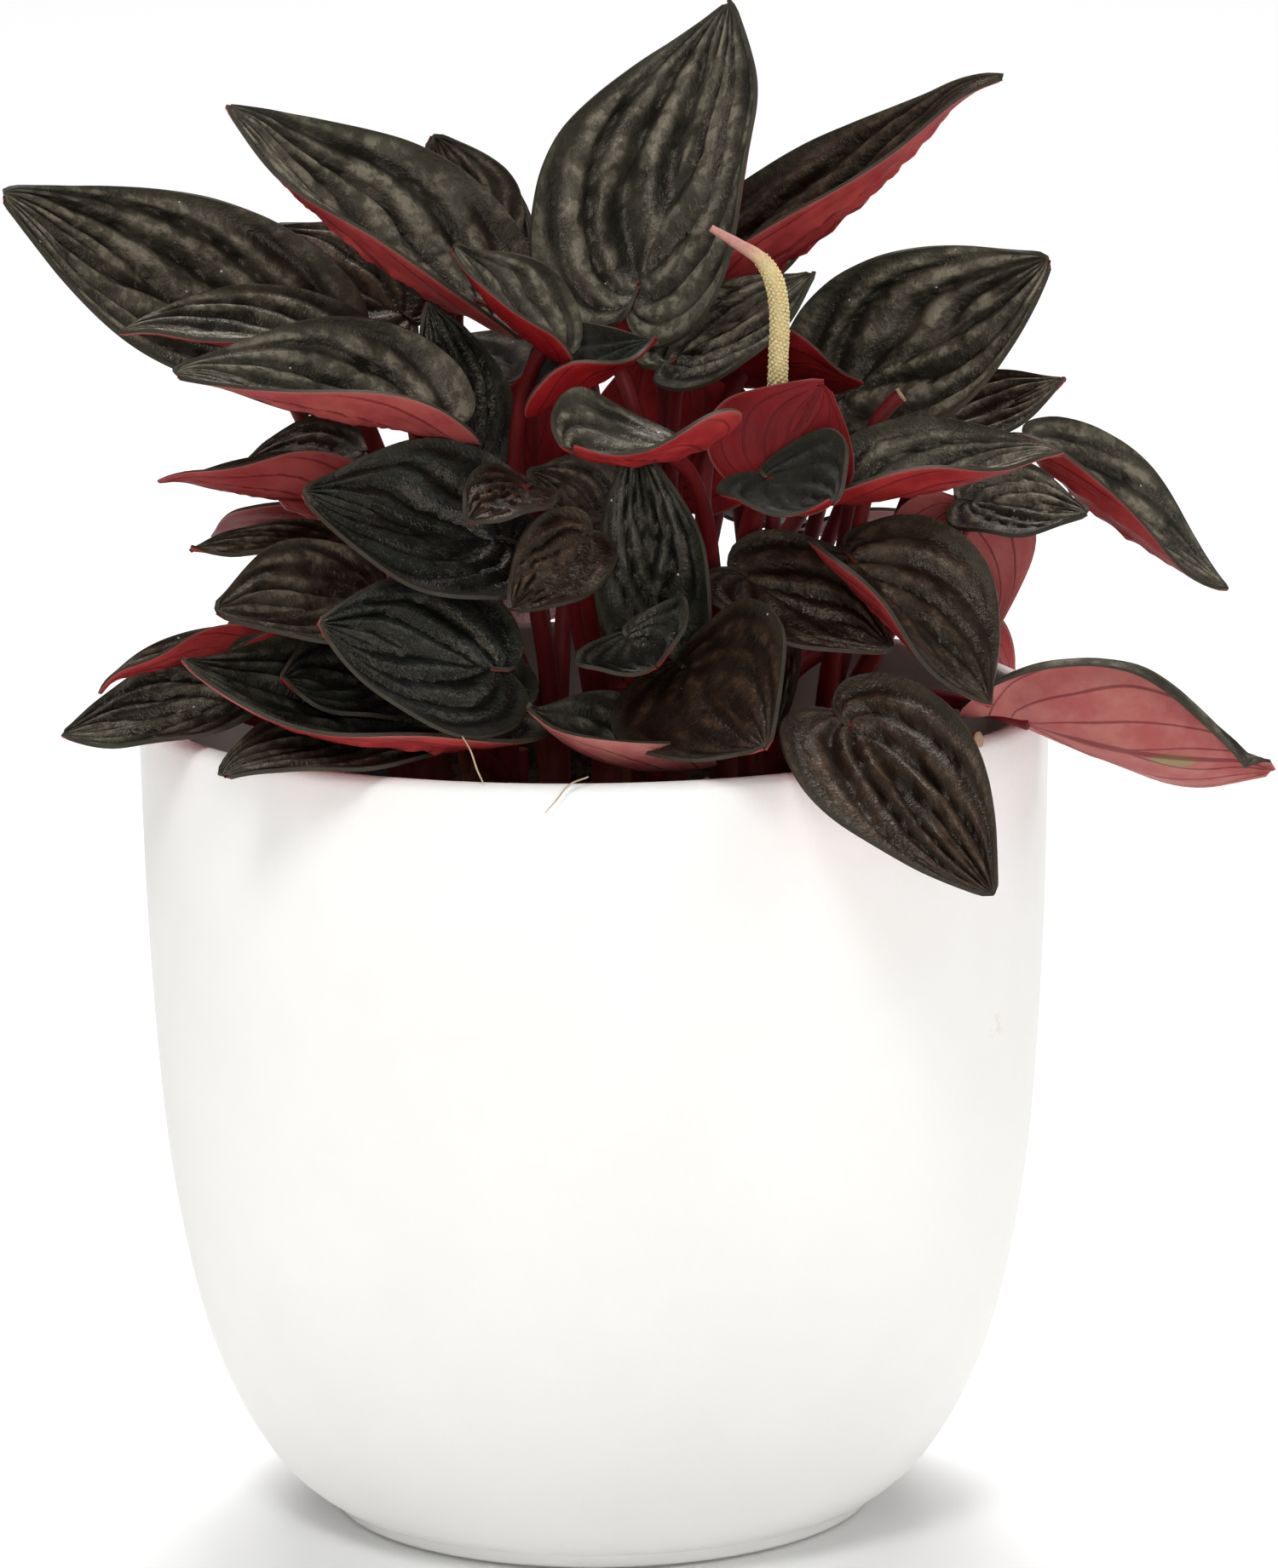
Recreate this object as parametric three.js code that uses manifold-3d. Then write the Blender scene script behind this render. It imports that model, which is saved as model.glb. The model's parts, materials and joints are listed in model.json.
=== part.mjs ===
// Ripple peperomia with red-backed leaves. The plant's leafy shoots stand in soil, the soil fills a
// thin nursery pot, and the nursery pot stands inside a white ceramic cover pot.
// Millimetres, +Z up, origin at the middle of the cover pot's foot, the show side facing -Y.
import * as THREE from 'three';
import { mergeVertices } from 'three/addons/utils/BufferGeometryUtils.js';
import Module from 'manifold-3d';

const wasm = await Module();
wasm.setup();

// ---- driving dimensions ----
const GAP = 0.3; // clearance between pieces that touch

const POT_HEIGHT = 126.6;
const POT_RIM_RADIUS = 70;
const POT_WALL = 3.2;
const POT_FLOOR = 7;
const FOOT_RADIUS = 42.2;
const FOOT_HEIGHT = 2.8;
const POT_SEGMENTS = 36;
// the bowl's outer radius at its height above the foot
const BOWL = [[44.6, 2.8], [47.6, 5], [51.5, 9], [56.5, 17], [61, 28], [64.4, 42], [67.3, 62], [69.2, 92],
  [POT_RIM_RADIUS, 124.4]];

const NURSERY_RIM_RADIUS = 59;
const NURSERY_BASE_RADIUS = 43;
const NURSERY_WALL = 1.1;
const NURSERY_RIM_DROP = 15; // below the cover pot's rim
const NURSERY_SEGMENTS = 20;

const SOIL_TOP = 106;
const SOIL_CROWN = 2.5; // the soil is a little higher round the stems
const SOIL_SEGMENTS = 20;

const STEM_RADIUS = 2.8;
const STEM_TOP = 124; // where a shoot's leaf stalks part
const STEM_DEPTH = 12; // how far a stem goes into the soil
const STALK_RADIUS = [1.5, 1.15]; // at the stem and at the blade
const STALK_SIDES = 5;
const STALK_STEPS = 3;

const BLADE_THICKNESS = 0.8;
const RIDGE_HEIGHT = 0.8; // of the quilting between the sunken veins, on a blade 45 mm long
const EDGE_WAVE = 0.5; // of the blade's edge, up and down
const TALL_RIDGES = 45; // the blade length that has the ridges at full height

// half of a blade's flat outline: along the midrib in blade lengths, and across in half widths
const OUTLINE = [[0, 0], [-0.07, 0.02], [-0.13, 0.06], [-0.175, 0.16], [-0.195, 0.3], [-0.185, 0.46],
  [-0.125, 0.7], [0, 0.89], [0.15, 0.985], [0.28, 1], [0.43, 0.94], [0.58, 0.79], [0.73, 0.57], [0.85, 0.34],
  [0.93, 0.15], [1, 0]];

// Each shoot has its stem's place on the soil and its leaves. A leaf is the point where the stalk
// meets the blade, the blade's tip, its flat width, the way its upper face looks, and in degrees how
// far the sides fold up, how far the midrib bows, how far the tip hooks down and how far it twists.
const SHOOTS = {
  shoot_left_upper: { stem: [-18, 2], leaves: [
    [[-45, 1.5, 180.5], [-88, -6, 206], 36, [-3, -6, 7], [50, -35, 30, 0]],
    [[-18, -6.5, 189.5], [-53.5, -14, 219.5], 38, [-2, -3.5, 8.5], [67, -28, 20, 0]],
    [[-37, -7, 181.5], [-70, -16, 186], 22, [0, -3, 8], [55, 8, 30, 0], [-36, 3, 175]],
    [[-29, 15.5, 184], [-49, 20, 197], 26, [-1, -6, 8], [30, -10, 0, 0]],
  ] },
  shoot_left: { stem: [-24, -8], leaves: [
    [[-24, -32, 174], [-60.5, -39.5, 183], 33, [0, -3, 8], [80, -10, 30, 0]],
    [[-35.5, 0.5, 165], [-52, -5, 164.5], 17, [0, -4, 9], [30, 0, 0, 0]],
    [[-36.5, -18.5, 160.5], [-64, -26, 165], 24, [0, 1.5, 8.5], [75, -15, 30, 0]],
    [[-39, -7.5, 155.5], [-47.5, -10, 160], 11, [0, 4, 9], [30, 0, 0, 0]],
    [[-40, -14.5, 153.5], [-60, -22, 154], 11, [0, -3, 9], [30, 0, 0, 0]],
  ] },
  shoot_left_lower: { stem: [-26, -20], leaves: [
    [[-33.5, -40.5, 149], [-54.5, -53.5, 150], 26, [0, -5, 8], [30, -15, 0, 0]],
    [[-54, -28.5, 132.5], [-79, -34, 128], 20, [-1, -5, 8], [35, -10, 0, 0]],
    [[-52, -25, 139.5], [-73, -36, 135], 15, [0, 2, 9], [70, 0, 50, 0]],
    [[-44, -35, 143], [-56, -44, 140], 14, [0, 4, 9], [40, 0, 0, 0]],
  ] },
  shoot_front_left: { stem: [-12, -28], leaves: [
    [[-14, -42.5, 158], [-41.5, -52, 167], 30, [0, -7, 7], [32, -22, 0, 0]],
    [[-15, -53.5, 141], [-39, -66.5, 150], 28, [0, -7, 6], [20, -20, 0, 0]],
    [[-16, -47.5, 132], [-59, -62, 144], 36, [0, -4, 8], [60, -42, 0, 0]],
    [[-28.5, -49.5, 130.5], [-53.5, -64, 127.5], 22, [0, -4, 9], [20, 12, 40, 0]],
    [[-30.5, -47, 138], [-45, -56, 140], 22, [0, -6, 7], [40, -25, 0, 0]],
  ] },
  shoot_front: { stem: [8, -36], leaves: [
    [[14, -49.5, 140], [25, -73.5, 132.5], 30, [-5, -4, 7], [20, 10, 0, 0]],
    [[10, -41, 144.5], [7, -41, 171.5], 19, [0, -9, 1], [50, 0, 70, 0]],
    [[5.5, -50.5, 145], [9.5, -57, 141.5], 21, [-1, -6, 6], [45, -30, 0, 0]],
    [[11, -51, 126], [-9, -64, 137], 27, [0, -2, 8], [72, -50, 0, 0]],
  ] },
  shoot_front_right: { stem: [24, -32], leaves: [
    [[39.5, -34.5, 152.5], [58.5, -47.5, 133.5], 35, [8, -6, 3], [56, 5, 0, 0]],
    [[23, -34.5, 150.5], [44, -47.5, 142], 23, [1, -6, 8], [40, -15, 0, 0]],
    [[37.5, -60, 133], [57, -84, 113], 26, [1, -8, 5], [25, 10, 0, 0]],
    [[28, -36, 142], [26, -50.5, 130], 9, [8, -4, 3], [30, 0, 0, 0]],
  ] },
  shoot_right: { stem: [34, -12], leaves: [
    [[39.5, -26.5, 161.5], [70, -30, 168], 27, [0, -2, 8], [70, -18, 40, 0]],
    [[58, -8.5, 157.5], [75, -13, 156.5], 16, [0, -6, 7], [30, 0, 0, 0]],
    [[70, 8.5, 161], [97, -1, 142.5], 27, [3, -1.5, 8], [70, -15, 0, 0]],
    [[50, 11.5, 165], [73, 8, 174], 19, [0, -5, 8], [30, -20, 0, 0]],
    [[56, -3.5, 155.5], [60.5, 2, 134.5], 24, [-2, 7, 3], [20, 10, 0, 0]],
    [[63.5, -33.5, 129], [101, -38, 121.5], 36, [0, 5, 6], [70, -30, 40, -40], [48, -27, 134]],
  ] },
  shoot_top: { stem: [12, -4], leaves: [
    [[7.5, -8, 191], [22, 7, 232.5], 42, [-4, -8, 3], [64, -15, 0, -20]],
    [[17.5, 10, 186], [63, 2, 221], 34, [-4, -2, 8], [70, -25, 50, 0]],
    [[3.5, 1, 180.5], [-6.5, -4, 188.5], 14, [1, 8, 2], [20, 0, 0, 0]],
    [[13, -15, 181], [34, -9.5, 193], 17, [-4, -7, 5], [20, -10, 0, 0]],
    [[39.5, 9, 171.5], [70, 0, 193.5], 34, [-2.5, -9, 5], [50, -15, 0, 0]],
    [[13, 2, 159], [12, 7.5, 182], 30, [0, 7, 2], [25, 0, 0, 0]],
  ] },
  shoot_inner_left: { stem: [-6, -10], leaves: [
    [[-5.5, -27, 184.5], [-19.5, -33.5, 200.5], 23, [0, -3.5, 8], [70, -25, 0, 0]],
    [[-17.5, -17, 167.5], [-24, -20, 190.5], 18, [6, -7, 3], [20, 10, 0, 0]],
    [[-1, 10, 184], [-12, 12, 196], 18, [-3, -5, 8], [30, -10, 0, 0]],
    [[-9, -1.5, 155], [-8, 4, 177], 26, [0, 7, 2], [25, 0, 0, 0]],
  ] },
  shoot_inner_front: { stem: [2, -20], leaves: [
    [[-5.5, -26, 176], [10, -27.5, 185.5], 27, [-2, -1.5, 8], [72, -10, 0, 0], [2, -15.5, 167.5]],
    [[-9.5, -47, 166.5], [-17.5, -58.5, 163.5], 13, [0, -6, 7], [25, 10, 20, 0], [-4, -37, 160.5]],
    [[3.5, -27.5, 157.5], [-9, -35.5, 167], 18, [0, -7, 6], [20, -10, 0, 0]],
    [[-1, -47, 159], [-11.5, -55, 150], 14, [1, -8, 4], [20, 0, 0, 0], [-1, -40, 150.5]],
  ] },
  shoot_inner_right: { stem: [20, -16], leaves: [
    [[26.5, -35, 165.5], [35.5, -47.5, 164], 25, [-1, -4, 8], [55, -50, 0, 0], [22, -21.5, 161.5]],
    [[12.5, -44, 171.5], [-2, -62, 174.5], 36, [-1, -1.5, 8], [64, -38, 0, 0], [20, -31, 165]],
    [[22.5, -2.5, 177], [41, -8, 176], 24, [0, 5, 7], [40, 0, 0, 0]],
    [[26.5, -30, 165], [35, -29.5, 179], 24, [1, 7, 3], [25, 0, 0, 0], [24, -27, 160]],
  ] },
  shoot_back_left: { stem: [-16, 18], leaves: [
    [[-16.5, 13.5, 196], [-23.5, 8, 212.5], 18, [-2, -5, 8], [30, -20, 0, 0]],
    [[-36.5, 26, 173.5], [-66, 50, 186.5], 30, [-3, 3, 8], [45, -20, 20, 0]],
    [[-38, 20.5, 139.5], [-58, 34, 129.5], 22, [-3, 4, 7], [25, 15, 20, 0]],
    [[-36, 44, 132.5], [-58, 66, 118], 28, [-4, 5, 6], [20, 20, 0, 10]],
    [[-26, 42.5, 153.5], [-46, 74, 148], 30, [-2, 4, 8], [40, 10, 20, 0]],
    [[-15.5, 42.5, 169.5], [-34, 74, 173], 32, [-2, 4, 8], [40, -10, 20, 0]],
    [[-38, 23.5, 150.5], [-60, 40, 146], 28, [-2, 2, 8], [40, -10, 20, 0]],
  ] },
  shoot_back: { stem: [4, 24], leaves: [
    [[-12, 27, 187.5], [-13, 19.5, 206], 26, [-5, -6, 4], [40, 0, 0, 0]],
    [[-7.5, 40, 183], [-22, 73, 194], 32, [-2, 5, 8], [40, -20, 20, 0]],
    [[6, 47.5, 161.5], [8, 86, 156], 33, [1, 4, 9], [35, 10, 20, 0]],
    [[-6.5, 53, 138.5], [-12, 88, 122], 30, [0, 7, 6], [20, 15, 0, 0]],
    [[19.5, 55, 131], [36, 84.5, 116.5], 28, [3, 6, 6], [25, 15, 0, 0]],
  ] },
  shoot_back_right: { stem: [26, 16], leaves: [
    [[19.5, 36, 183.5], [34, 62, 198], 32, [2, 4, 8], [45, -15, 30, 0]],
    [[40, 28, 158], [66, 52, 158], 30, [3, 3, 8], [45, 0, 20, 0]],
    [[32, 46.5, 145], [52, 76, 136], 31, [3, 5, 7], [30, 10, 0, 0]],
    [[48, 26, 136.5], [66, 48, 118], 22, [4, 4, 7], [30, 20, 20, 0]],
    [[37, 24, 168.5], [62, 46, 172], 30, [0, 3, 8], [45, -15, 20, 0]],
  ] },
};

// stalks whose leaf has been cut away, each with its cut end and, if it leans over, its turning point
const CUT_STALKS = {
  shoot_inner_front: [[-1, -30, 152]],
  shoot_right: [[47, -14, 175], [38, -14, 169]],
  shoot_front_right: [[57, -48, 128.5]],
};

// the flower's stalk from the soil up, then the spike on it up to its bent tip
const SPIKE_STALK = [[24, -22, 94.5], [24, -22, 106], [25, -23, 128], [27.4, -24, 158], [28.2, -24, 177.7]];
const SPIKE_STALK_RADIUS = 1.2;
const SPIKE = [[28.2, -24, 178], [28.4, -24, 183], [28.6, -24, 187], [28.4, -24, 191], [27.5, -24, 194.6],
  [25.6, -24, 197.3], [22.4, -24, 199.4], [18.5, -24, 201.8]];
const SPIKE_RADIUS = 1.55;
const SPIKE_TIP_RADIUS = 0.55;
const SPIKE_FLOWERS_END = 0.66; // the share of the spike that florets cover
const FLORET_RELIEF = 0.28;

// ---- helpers ----
const rad = THREE.MathUtils.degToRad;
const { clamp, lerp } = THREE.MathUtils;
const vec = (p) => new THREE.Vector3(...p);

// evenly spaced look-up in a table of numbers, t from 0 to 1
function look(table, t) {
  const at = clamp(t, 0, 1) * (table.length - 1);
  const low = Math.min(Math.floor(at), table.length - 2);
  return lerp(table[low], table[low + 1], at - low);
}

function closedGeometry(positions, faces) {
  const geometry = new THREE.BufferGeometry();
  geometry.setAttribute('position', new THREE.Float32BufferAttribute(positions, 3));
  geometry.setIndex(faces);
  return geometry;
}

function solidOf(geometry) {
  const bare = geometry.clone();
  for (const name of ['normal', 'uv']) bare.deleteAttribute(name);
  const merged = mergeVertices(bare, 1e-4);
  return new wasm.Manifold(new wasm.Mesh({
    numProp: 3,
    vertProperties: new Float32Array(merged.attributes.position.array),
    triVerts: new Uint32Array(merged.index.array),
  }));
}

function geometryOf(solid) {
  const mesh = solid.getMesh();
  return closedGeometry([...mesh.vertProperties], [...mesh.triVerts]);
}

// a closed tube of rings round a path; ringRadius(i, j) is the radius at path point i and side j
function tube(path, sides, ringRadius) {
  const positions = [];
  const faces = [];
  const last = path.length - 1;
  let side = new THREE.Vector3(0, 1, 0);
  path.forEach((point, i) => {
    const along = path[Math.min(i + 1, last)].clone().sub(path[Math.max(i - 1, 0)]).normalize();
    if (Math.abs(along.dot(side)) > 0.95) side = new THREE.Vector3(1, 0, 0);
    side = side.clone().addScaledVector(along, -side.dot(along)).normalize();
    const other = along.clone().cross(side);
    for (let j = 0; j < sides; j += 1) {
      const turn = (2 * Math.PI * j) / sides;
      const radius = ringRadius(i, j);
      positions.push(...point.clone()
        .addScaledVector(side, radius * Math.cos(turn))
        .addScaledVector(other, radius * Math.sin(turn)));
    }
  });
  for (let i = 0; i < last; i += 1) {
    for (let j = 0; j < sides; j += 1) {
      const [a, b] = [i * sides + j, i * sides + ((j + 1) % sides)];
      faces.push(a, b, b + sides, a, b + sides, a + sides);
    }
  }
  for (let j = 1; j < sides - 1; j += 1) {
    faces.push(0, j + 1, j, last * sides, last * sides + j, last * sides + j + 1);
  }
  return closedGeometry(positions, faces);
}

// ---- one leaf ----
// A blade is a grid: rows run from its base (q = 0) to its tip (q = 1), columns from the midrib
// (v = 0) to the edge (v = 1), so the columns fan out of the stalk's end as the main veins do.
function makeLeaf([base, tip, width, face, [fold, bow, hook, twist]]) {
  const start = vec(base);
  const along = vec(tip).sub(start);
  const length = along.length();
  along.normalize();
  const up = vec(face);
  up.addScaledVector(along, -up.dot(along)).normalize();
  const across = up.clone().cross(along);

  // the midrib's bow, worked out from a little behind the stalk to the tip, then laid on the chord
  const BEHIND = 0.2;
  const STEPS = 120;
  const slopes = [];
  const runs = [0];
  const rises = [0];
  const step = (1 + BEHIND) / STEPS;
  for (let i = 0; i <= STEPS; i += 1) {
    const s = i * step - BEHIND;
    slopes.push(rad(bow) * (0.5 - s) - rad(hook) * clamp((s - 0.82) / 0.18, 0, 1) ** 1.3);
    if (i === 0) continue;
    const mean = (slopes[i] + slopes[i - 1]) / 2;
    runs.push(runs[i - 1] + step * Math.cos(mean));
    rises.push(rises[i - 1] + step * Math.sin(mean));
  }
  const place = (s) => (s + BEHIND) / (1 + BEHIND);
  const [run0, rise0] = [look(runs, place(0)), look(rises, place(0))];
  const chord = new THREE.Vector2(runs[STEPS] - run0, rises[STEPS] - rise0);
  const tilt = chord.angle();
  const scale = length / chord.length();

  // a point s blade lengths along and w half widths across, raised off the blade by lift
  const point = (s, w, lift) => {
    const arc = rad(fold) * Math.abs(w);
    const radius = width / 2 / Math.max(rad(fold), 1e-6);
    const sign = Math.sign(w);
    const flatY = sign * (radius - lift) * Math.sin(arc);
    const flatZ = radius - (radius - lift) * Math.cos(arc);
    const turn = rad(twist) * (s - 0.3);
    const y = flatY * Math.cos(turn) - flatZ * Math.sin(turn);
    const z = flatY * Math.sin(turn) + flatZ * Math.cos(turn);
    const middle = new THREE.Vector2(look(runs, place(s)) - run0, look(rises, place(s)) - rise0)
      .multiplyScalar(scale).rotateAround(new THREE.Vector2(), -tilt);
    const slope = look(slopes, place(s)) - tilt;
    return start.clone()
      .addScaledVector(along, middle.x - z * Math.sin(slope))
      .addScaledVector(across, y)
      .addScaledVector(up, middle.y + z * Math.cos(slope));
  };
  return { start, along, up, length, point };
}

// the half outline as an even curve in t from 0 to 1
const outlineCurve = new THREE.CatmullRomCurve3(OUTLINE.map(([s, w]) => new THREE.Vector3(s, w * 0.42, 0)));
function outlineAt(q) {
  if (q <= 0) return [0, 0];
  if (q >= 1) return [1, 0];
  const at = outlineCurve.getPointAt(q);
  return [at.x, at.y / 0.42];
}

// The blade's grid by its length: rows from base to tip, columns from the midrib to the edge, and how
// high the blade stands in each column, so that it swells between sunken veins.
const GRIDS = [
  { upTo: 24, rows: 4, columns: [0, 0.5, 1], ridges: [-0.6, 0.8, 0] },
  { upTo: 40, rows: 5, columns: [0, 0.34, 0.68, 1], ridges: [-0.7, 0.9, -0.5, 0] },
  { upTo: 99, rows: 6, columns: [0, 0.27, 0.5, 0.76, 1], ridges: [-0.8, 0.9, -0.6, 0.7, 0] },
];

function bladeSolid(leaf, seed) {
  const { rows, columns, ridges } = GRIDS.find(({ upTo }) => leaf.length < upTo);
  const lastColumn = columns.length - 1;
  const height = (RIDGE_HEIGHT * leaf.length) / TALL_RIDGES;
  const positions = [];
  const faces = [];
  const corners = new Map();

  // the blade's surface at a grid corner, on its upper face (1) or its underside (-1)
  const surface = (row, column, side, face) => {
    const q = row / rows;
    const v = columns[column];
    const [s, w] = outlineAt(q);
    const thick = (face * BLADE_THICKNESS) / 2;
    if (w === 0) return leaf.point(s, 0, thick);
    const swell = Math.sin(Math.PI * q) ** 0.6 * (row % 2 ? 1 : 0.6);
    const wave = EDGE_WAVE * v ** 3 * Math.sin(2 * Math.PI * (2.5 * q + 0.37 * seed + 0.25 * side));
    return leaf.point(lerp(q ** 1.25, s, v), side * w * v, height * swell * ridges[column] + wave + thick);
  };
  // the two ends are one corner each and both sides share the midrib
  const corner = (row, column, side, face) => {
    const end = row === 0 || row === rows;
    const key = [row, end ? 0 : column, end || column === 0 ? 0 : side, face].join();
    if (!corners.has(key)) {
      corners.set(key, positions.length / 3);
      positions.push(...surface(row, column, side, face));
    }
    return corners.get(key);
  };
  const addQuad = (a, b, c, d) => {
    if (a !== b && b !== c && a !== c) faces.push(a, b, c);
    if (a !== c && c !== d && a !== d) faces.push(a, c, d);
  };
  for (const side of [-1, 1]) {
    for (let row = 0; row < rows; row += 1) {
      for (let column = 0; column < lastColumn; column += 1) {
        for (const face of [-1, 1]) {
          const [a, b, c, d] = [[0, 0], [1, 0], [1, 1], [0, 1]]
            .map(([i, j]) => corner(row + i, column + j, side, face));
          if (side * face > 0) addQuad(a, b, c, d);
          else addQuad(c, b, a, d);
        }
      }
      const [a, b, c, d] = [[0, 1], [1, 1], [1, -1], [0, -1]]
        .map(([i, face]) => corner(row + i, lastColumn, side, face));
      if (side > 0) addQuad(a, b, c, d);
      else addQuad(d, c, b, a);
    }
  }
  return solidOf(closedGeometry(positions, faces));
}

// ---- one shoot: a stem in the soil, its stalks and its blades in one body ----
// a stalk leaves the stem leaning towards its leaf and comes to the blade from below; a turning point
// takes it round whatever stands in between
function stalkSolid(from, to, arrive, turning) {
  const reach = to.distanceTo(from);
  const lean = to.clone().sub(from).setZ(0).multiplyScalar(0.5 / reach).add(new THREE.Vector3(0, 0, 1));
  const curve = new THREE.CubicBezierCurve3(
    from,
    from.clone().addScaledVector(lean, reach * 0.4),
    turning ? vec(turning) : to.clone().addScaledVector(arrive, -reach * 0.35),
    to,
  );
  const radius = (i) => lerp(...STALK_RADIUS, i / STALK_STEPS);
  return solidOf(tube(curve.getPoints(STALK_STEPS), STALK_SIDES, radius));
}

function stemSolid([x, y]) {
  const heights = [SOIL_TOP - STEM_DEPTH + GAP, STEM_TOP - 4, STEM_TOP];
  const radii = [STEM_RADIUS, STEM_RADIUS, STEM_RADIUS * 0.7];
  return solidOf(tube(heights.map((z) => new THREE.Vector3(x, y, z)), 6, (i) => radii[i]));
}

function shootPieces(name, { stem, leaves }) {
  const pieces = [{ label: 'stem', solid: stemSolid(stem) }];
  // each stalk starts on its own side of the stem, some lower than others
  const root = (end, i) => {
    const start = new THREE.Vector3(...stem, STEM_TOP - 3 - 3 * (i % 3));
    const out = end.clone().sub(start).setZ(0).normalize();
    return start.addScaledVector(out, STEM_RADIUS - STALK_RADIUS[0]);
  };
  leaves.forEach((numbers, i) => {
    const leaf = makeLeaf(numbers);
    const end = leaf.point(0.05, 0, -0.2);
    const arrive = leaf.along.clone().multiplyScalar(0.4).addScaledVector(leaf.up, 0.9).normalize();
    pieces.push({ label: `stalk${i}`, solid: stalkSolid(root(end, i), end, arrive, numbers[5]) });
    pieces.push({ label: `blade${i}`, solid: bladeSolid(leaf, i) });
  });
  if (CUT_STALKS[name]) {
    const [cutEnd, turning] = CUT_STALKS[name];
    const end = vec(cutEnd);
    const start = root(end, 0);
    pieces.push({ label: 'cut', solid: stalkSolid(start, end, end.clone().sub(start).normalize(), turning) });
  }
  return pieces;
}

function shootSolid(name, shoot) {
  const [first, ...rest] = shootPieces(name, shoot).map(({ solid }) => solid);
  return rest.reduce((whole, solid) => whole.add(solid), first);
}

// ---- flower spike ----
function spikeStalkGeometry() {
  const stalk = new THREE.CatmullRomCurve3(SPIKE_STALK.map(vec)).getPoints(6);
  return tube(stalk, 6, () => SPIKE_STALK_RADIUS);
}

function spikeGeometry() {
  const path = new THREE.CatmullRomCurve3(SPIKE.map(vec)).getSpacedPoints(14);
  const last = path.length - 1;
  const radius = (i, j) => {
    const t = i / last;
    const smooth = lerp(SPIKE_RADIUS, SPIKE_TIP_RADIUS, clamp((t - 0.5) / 0.5, 0, 1));
    const floret = t < SPIKE_FLOWERS_END && i > 0 ? FLORET_RELIEF * ((i + j) % 2 ? 1 : -0.6) : 0;
    return smooth + floret;
  };
  return tube(path, 7, radius);
}

// ---- pots and soil ----
function lathe(profile, segments) {
  return new THREE.LatheGeometry(profile.map(([r, z]) => new THREE.Vector2(r, z)), segments).rotateX(Math.PI / 2);
}

function innerRadius(z) {
  const above = BOWL.findIndex(([, height]) => height > z);
  if (above < 0) return POT_RIM_RADIUS - POT_WALL;
  const [r0, z0] = BOWL[above - 1];
  const [r1, z1] = BOWL[above];
  return lerp(r0, r1, (z - z0) / (z1 - z0)) - POT_WALL;
}

function potGeometry() {
  const outside = [[FOOT_RADIUS - 0.6, 0], [FOOT_RADIUS, 0.6], [FOOT_RADIUS, FOOT_HEIGHT - 0.3], ...BOWL];
  const lip = [[POT_RIM_RADIUS - 0.4, POT_HEIGHT - 0.7], [POT_RIM_RADIUS - 1.3, POT_HEIGHT],
    [POT_RIM_RADIUS - 2.3, POT_HEIGHT - 0.1], [POT_RIM_RADIUS - POT_WALL, POT_HEIGHT - 1.4]];
  const inside = [92, 62, 42, 28, 17].map((z) => [innerRadius(z), z]);
  const floor = [[innerRadius(11) - 1, 11], [innerRadius(11) - 4, POT_FLOOR], [0, POT_FLOOR]];
  return lathe([[0, 0], ...outside, ...lip, ...inside, ...floor], POT_SEGMENTS);
}

const NURSERY_BOTTOM = POT_FLOOR + GAP;
const NURSERY_TOP = POT_HEIGHT - NURSERY_RIM_DROP;
const nurseryRadius = (z) => lerp(
  NURSERY_BASE_RADIUS,
  NURSERY_RIM_RADIUS - 1.6,
  (z - NURSERY_BOTTOM) / (NURSERY_TOP - NURSERY_BOTTOM),
);

function nurseryGeometry() {
  const [bottom, top] = [NURSERY_BOTTOM, NURSERY_TOP];
  const lipBase = top - 6;
  const outside = [[0, bottom], [NURSERY_BASE_RADIUS - 1, bottom], [NURSERY_BASE_RADIUS, bottom + 1],
    [nurseryRadius(lipBase), lipBase], [NURSERY_RIM_RADIUS, lipBase], [NURSERY_RIM_RADIUS, top]];
  const inside = [[nurseryRadius(top) - NURSERY_WALL, top], [nurseryRadius(bottom) - NURSERY_WALL, bottom + 1.2],
    [0, bottom + 1.2]];
  return lathe([...outside, ...inside], NURSERY_SEGMENTS);
}

function soilSolid() {
  const bottom = NURSERY_BOTTOM + 1.2 + GAP;
  const wall = NURSERY_WALL + GAP + 0.5;
  const profile = [[0, bottom], [nurseryRadius(bottom) - wall, bottom], [nurseryRadius(SOIL_TOP) - wall, SOIL_TOP],
    [42, SOIL_TOP + SOIL_CROWN * 0.6], [22, SOIL_TOP + SOIL_CROWN], [0, SOIL_TOP + SOIL_CROWN]];
  let soil = solidOf(lathe(profile, SOIL_SEGMENTS));
  const hole = (x, y, radius) => {
    const ends = [SOIL_TOP - STEM_DEPTH, SOIL_TOP + 12].map((z) => new THREE.Vector3(x, y, z));
    soil = soil.subtract(solidOf(tube(ends, 6, () => radius + GAP * 1.5)));
  };
  Object.values(SHOOTS).forEach(({ stem: [x, y] }) => hole(x, y, STEM_RADIUS));
  hole(SPIKE_STALK[0][0], SPIKE_STALK[0][1], SPIKE_STALK_RADIUS);
  return soil;
}

// ---- the plant in its pots ----
const material = (color, roughness) => new THREE.MeshStandardMaterial({ color, roughness, metalness: 0 });
const ceramic = material(0xf3eee8, 0.6);
const plastic = material(0x1d1c1b, 0.55);
const peat = material(0x2a1d15, 1);
const foliage = material(0x3d433a, 0.42);
const redStalk = material(0x8e2f2c, 0.4);
const blossom = material(0xd9c987, 0.7);

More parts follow.
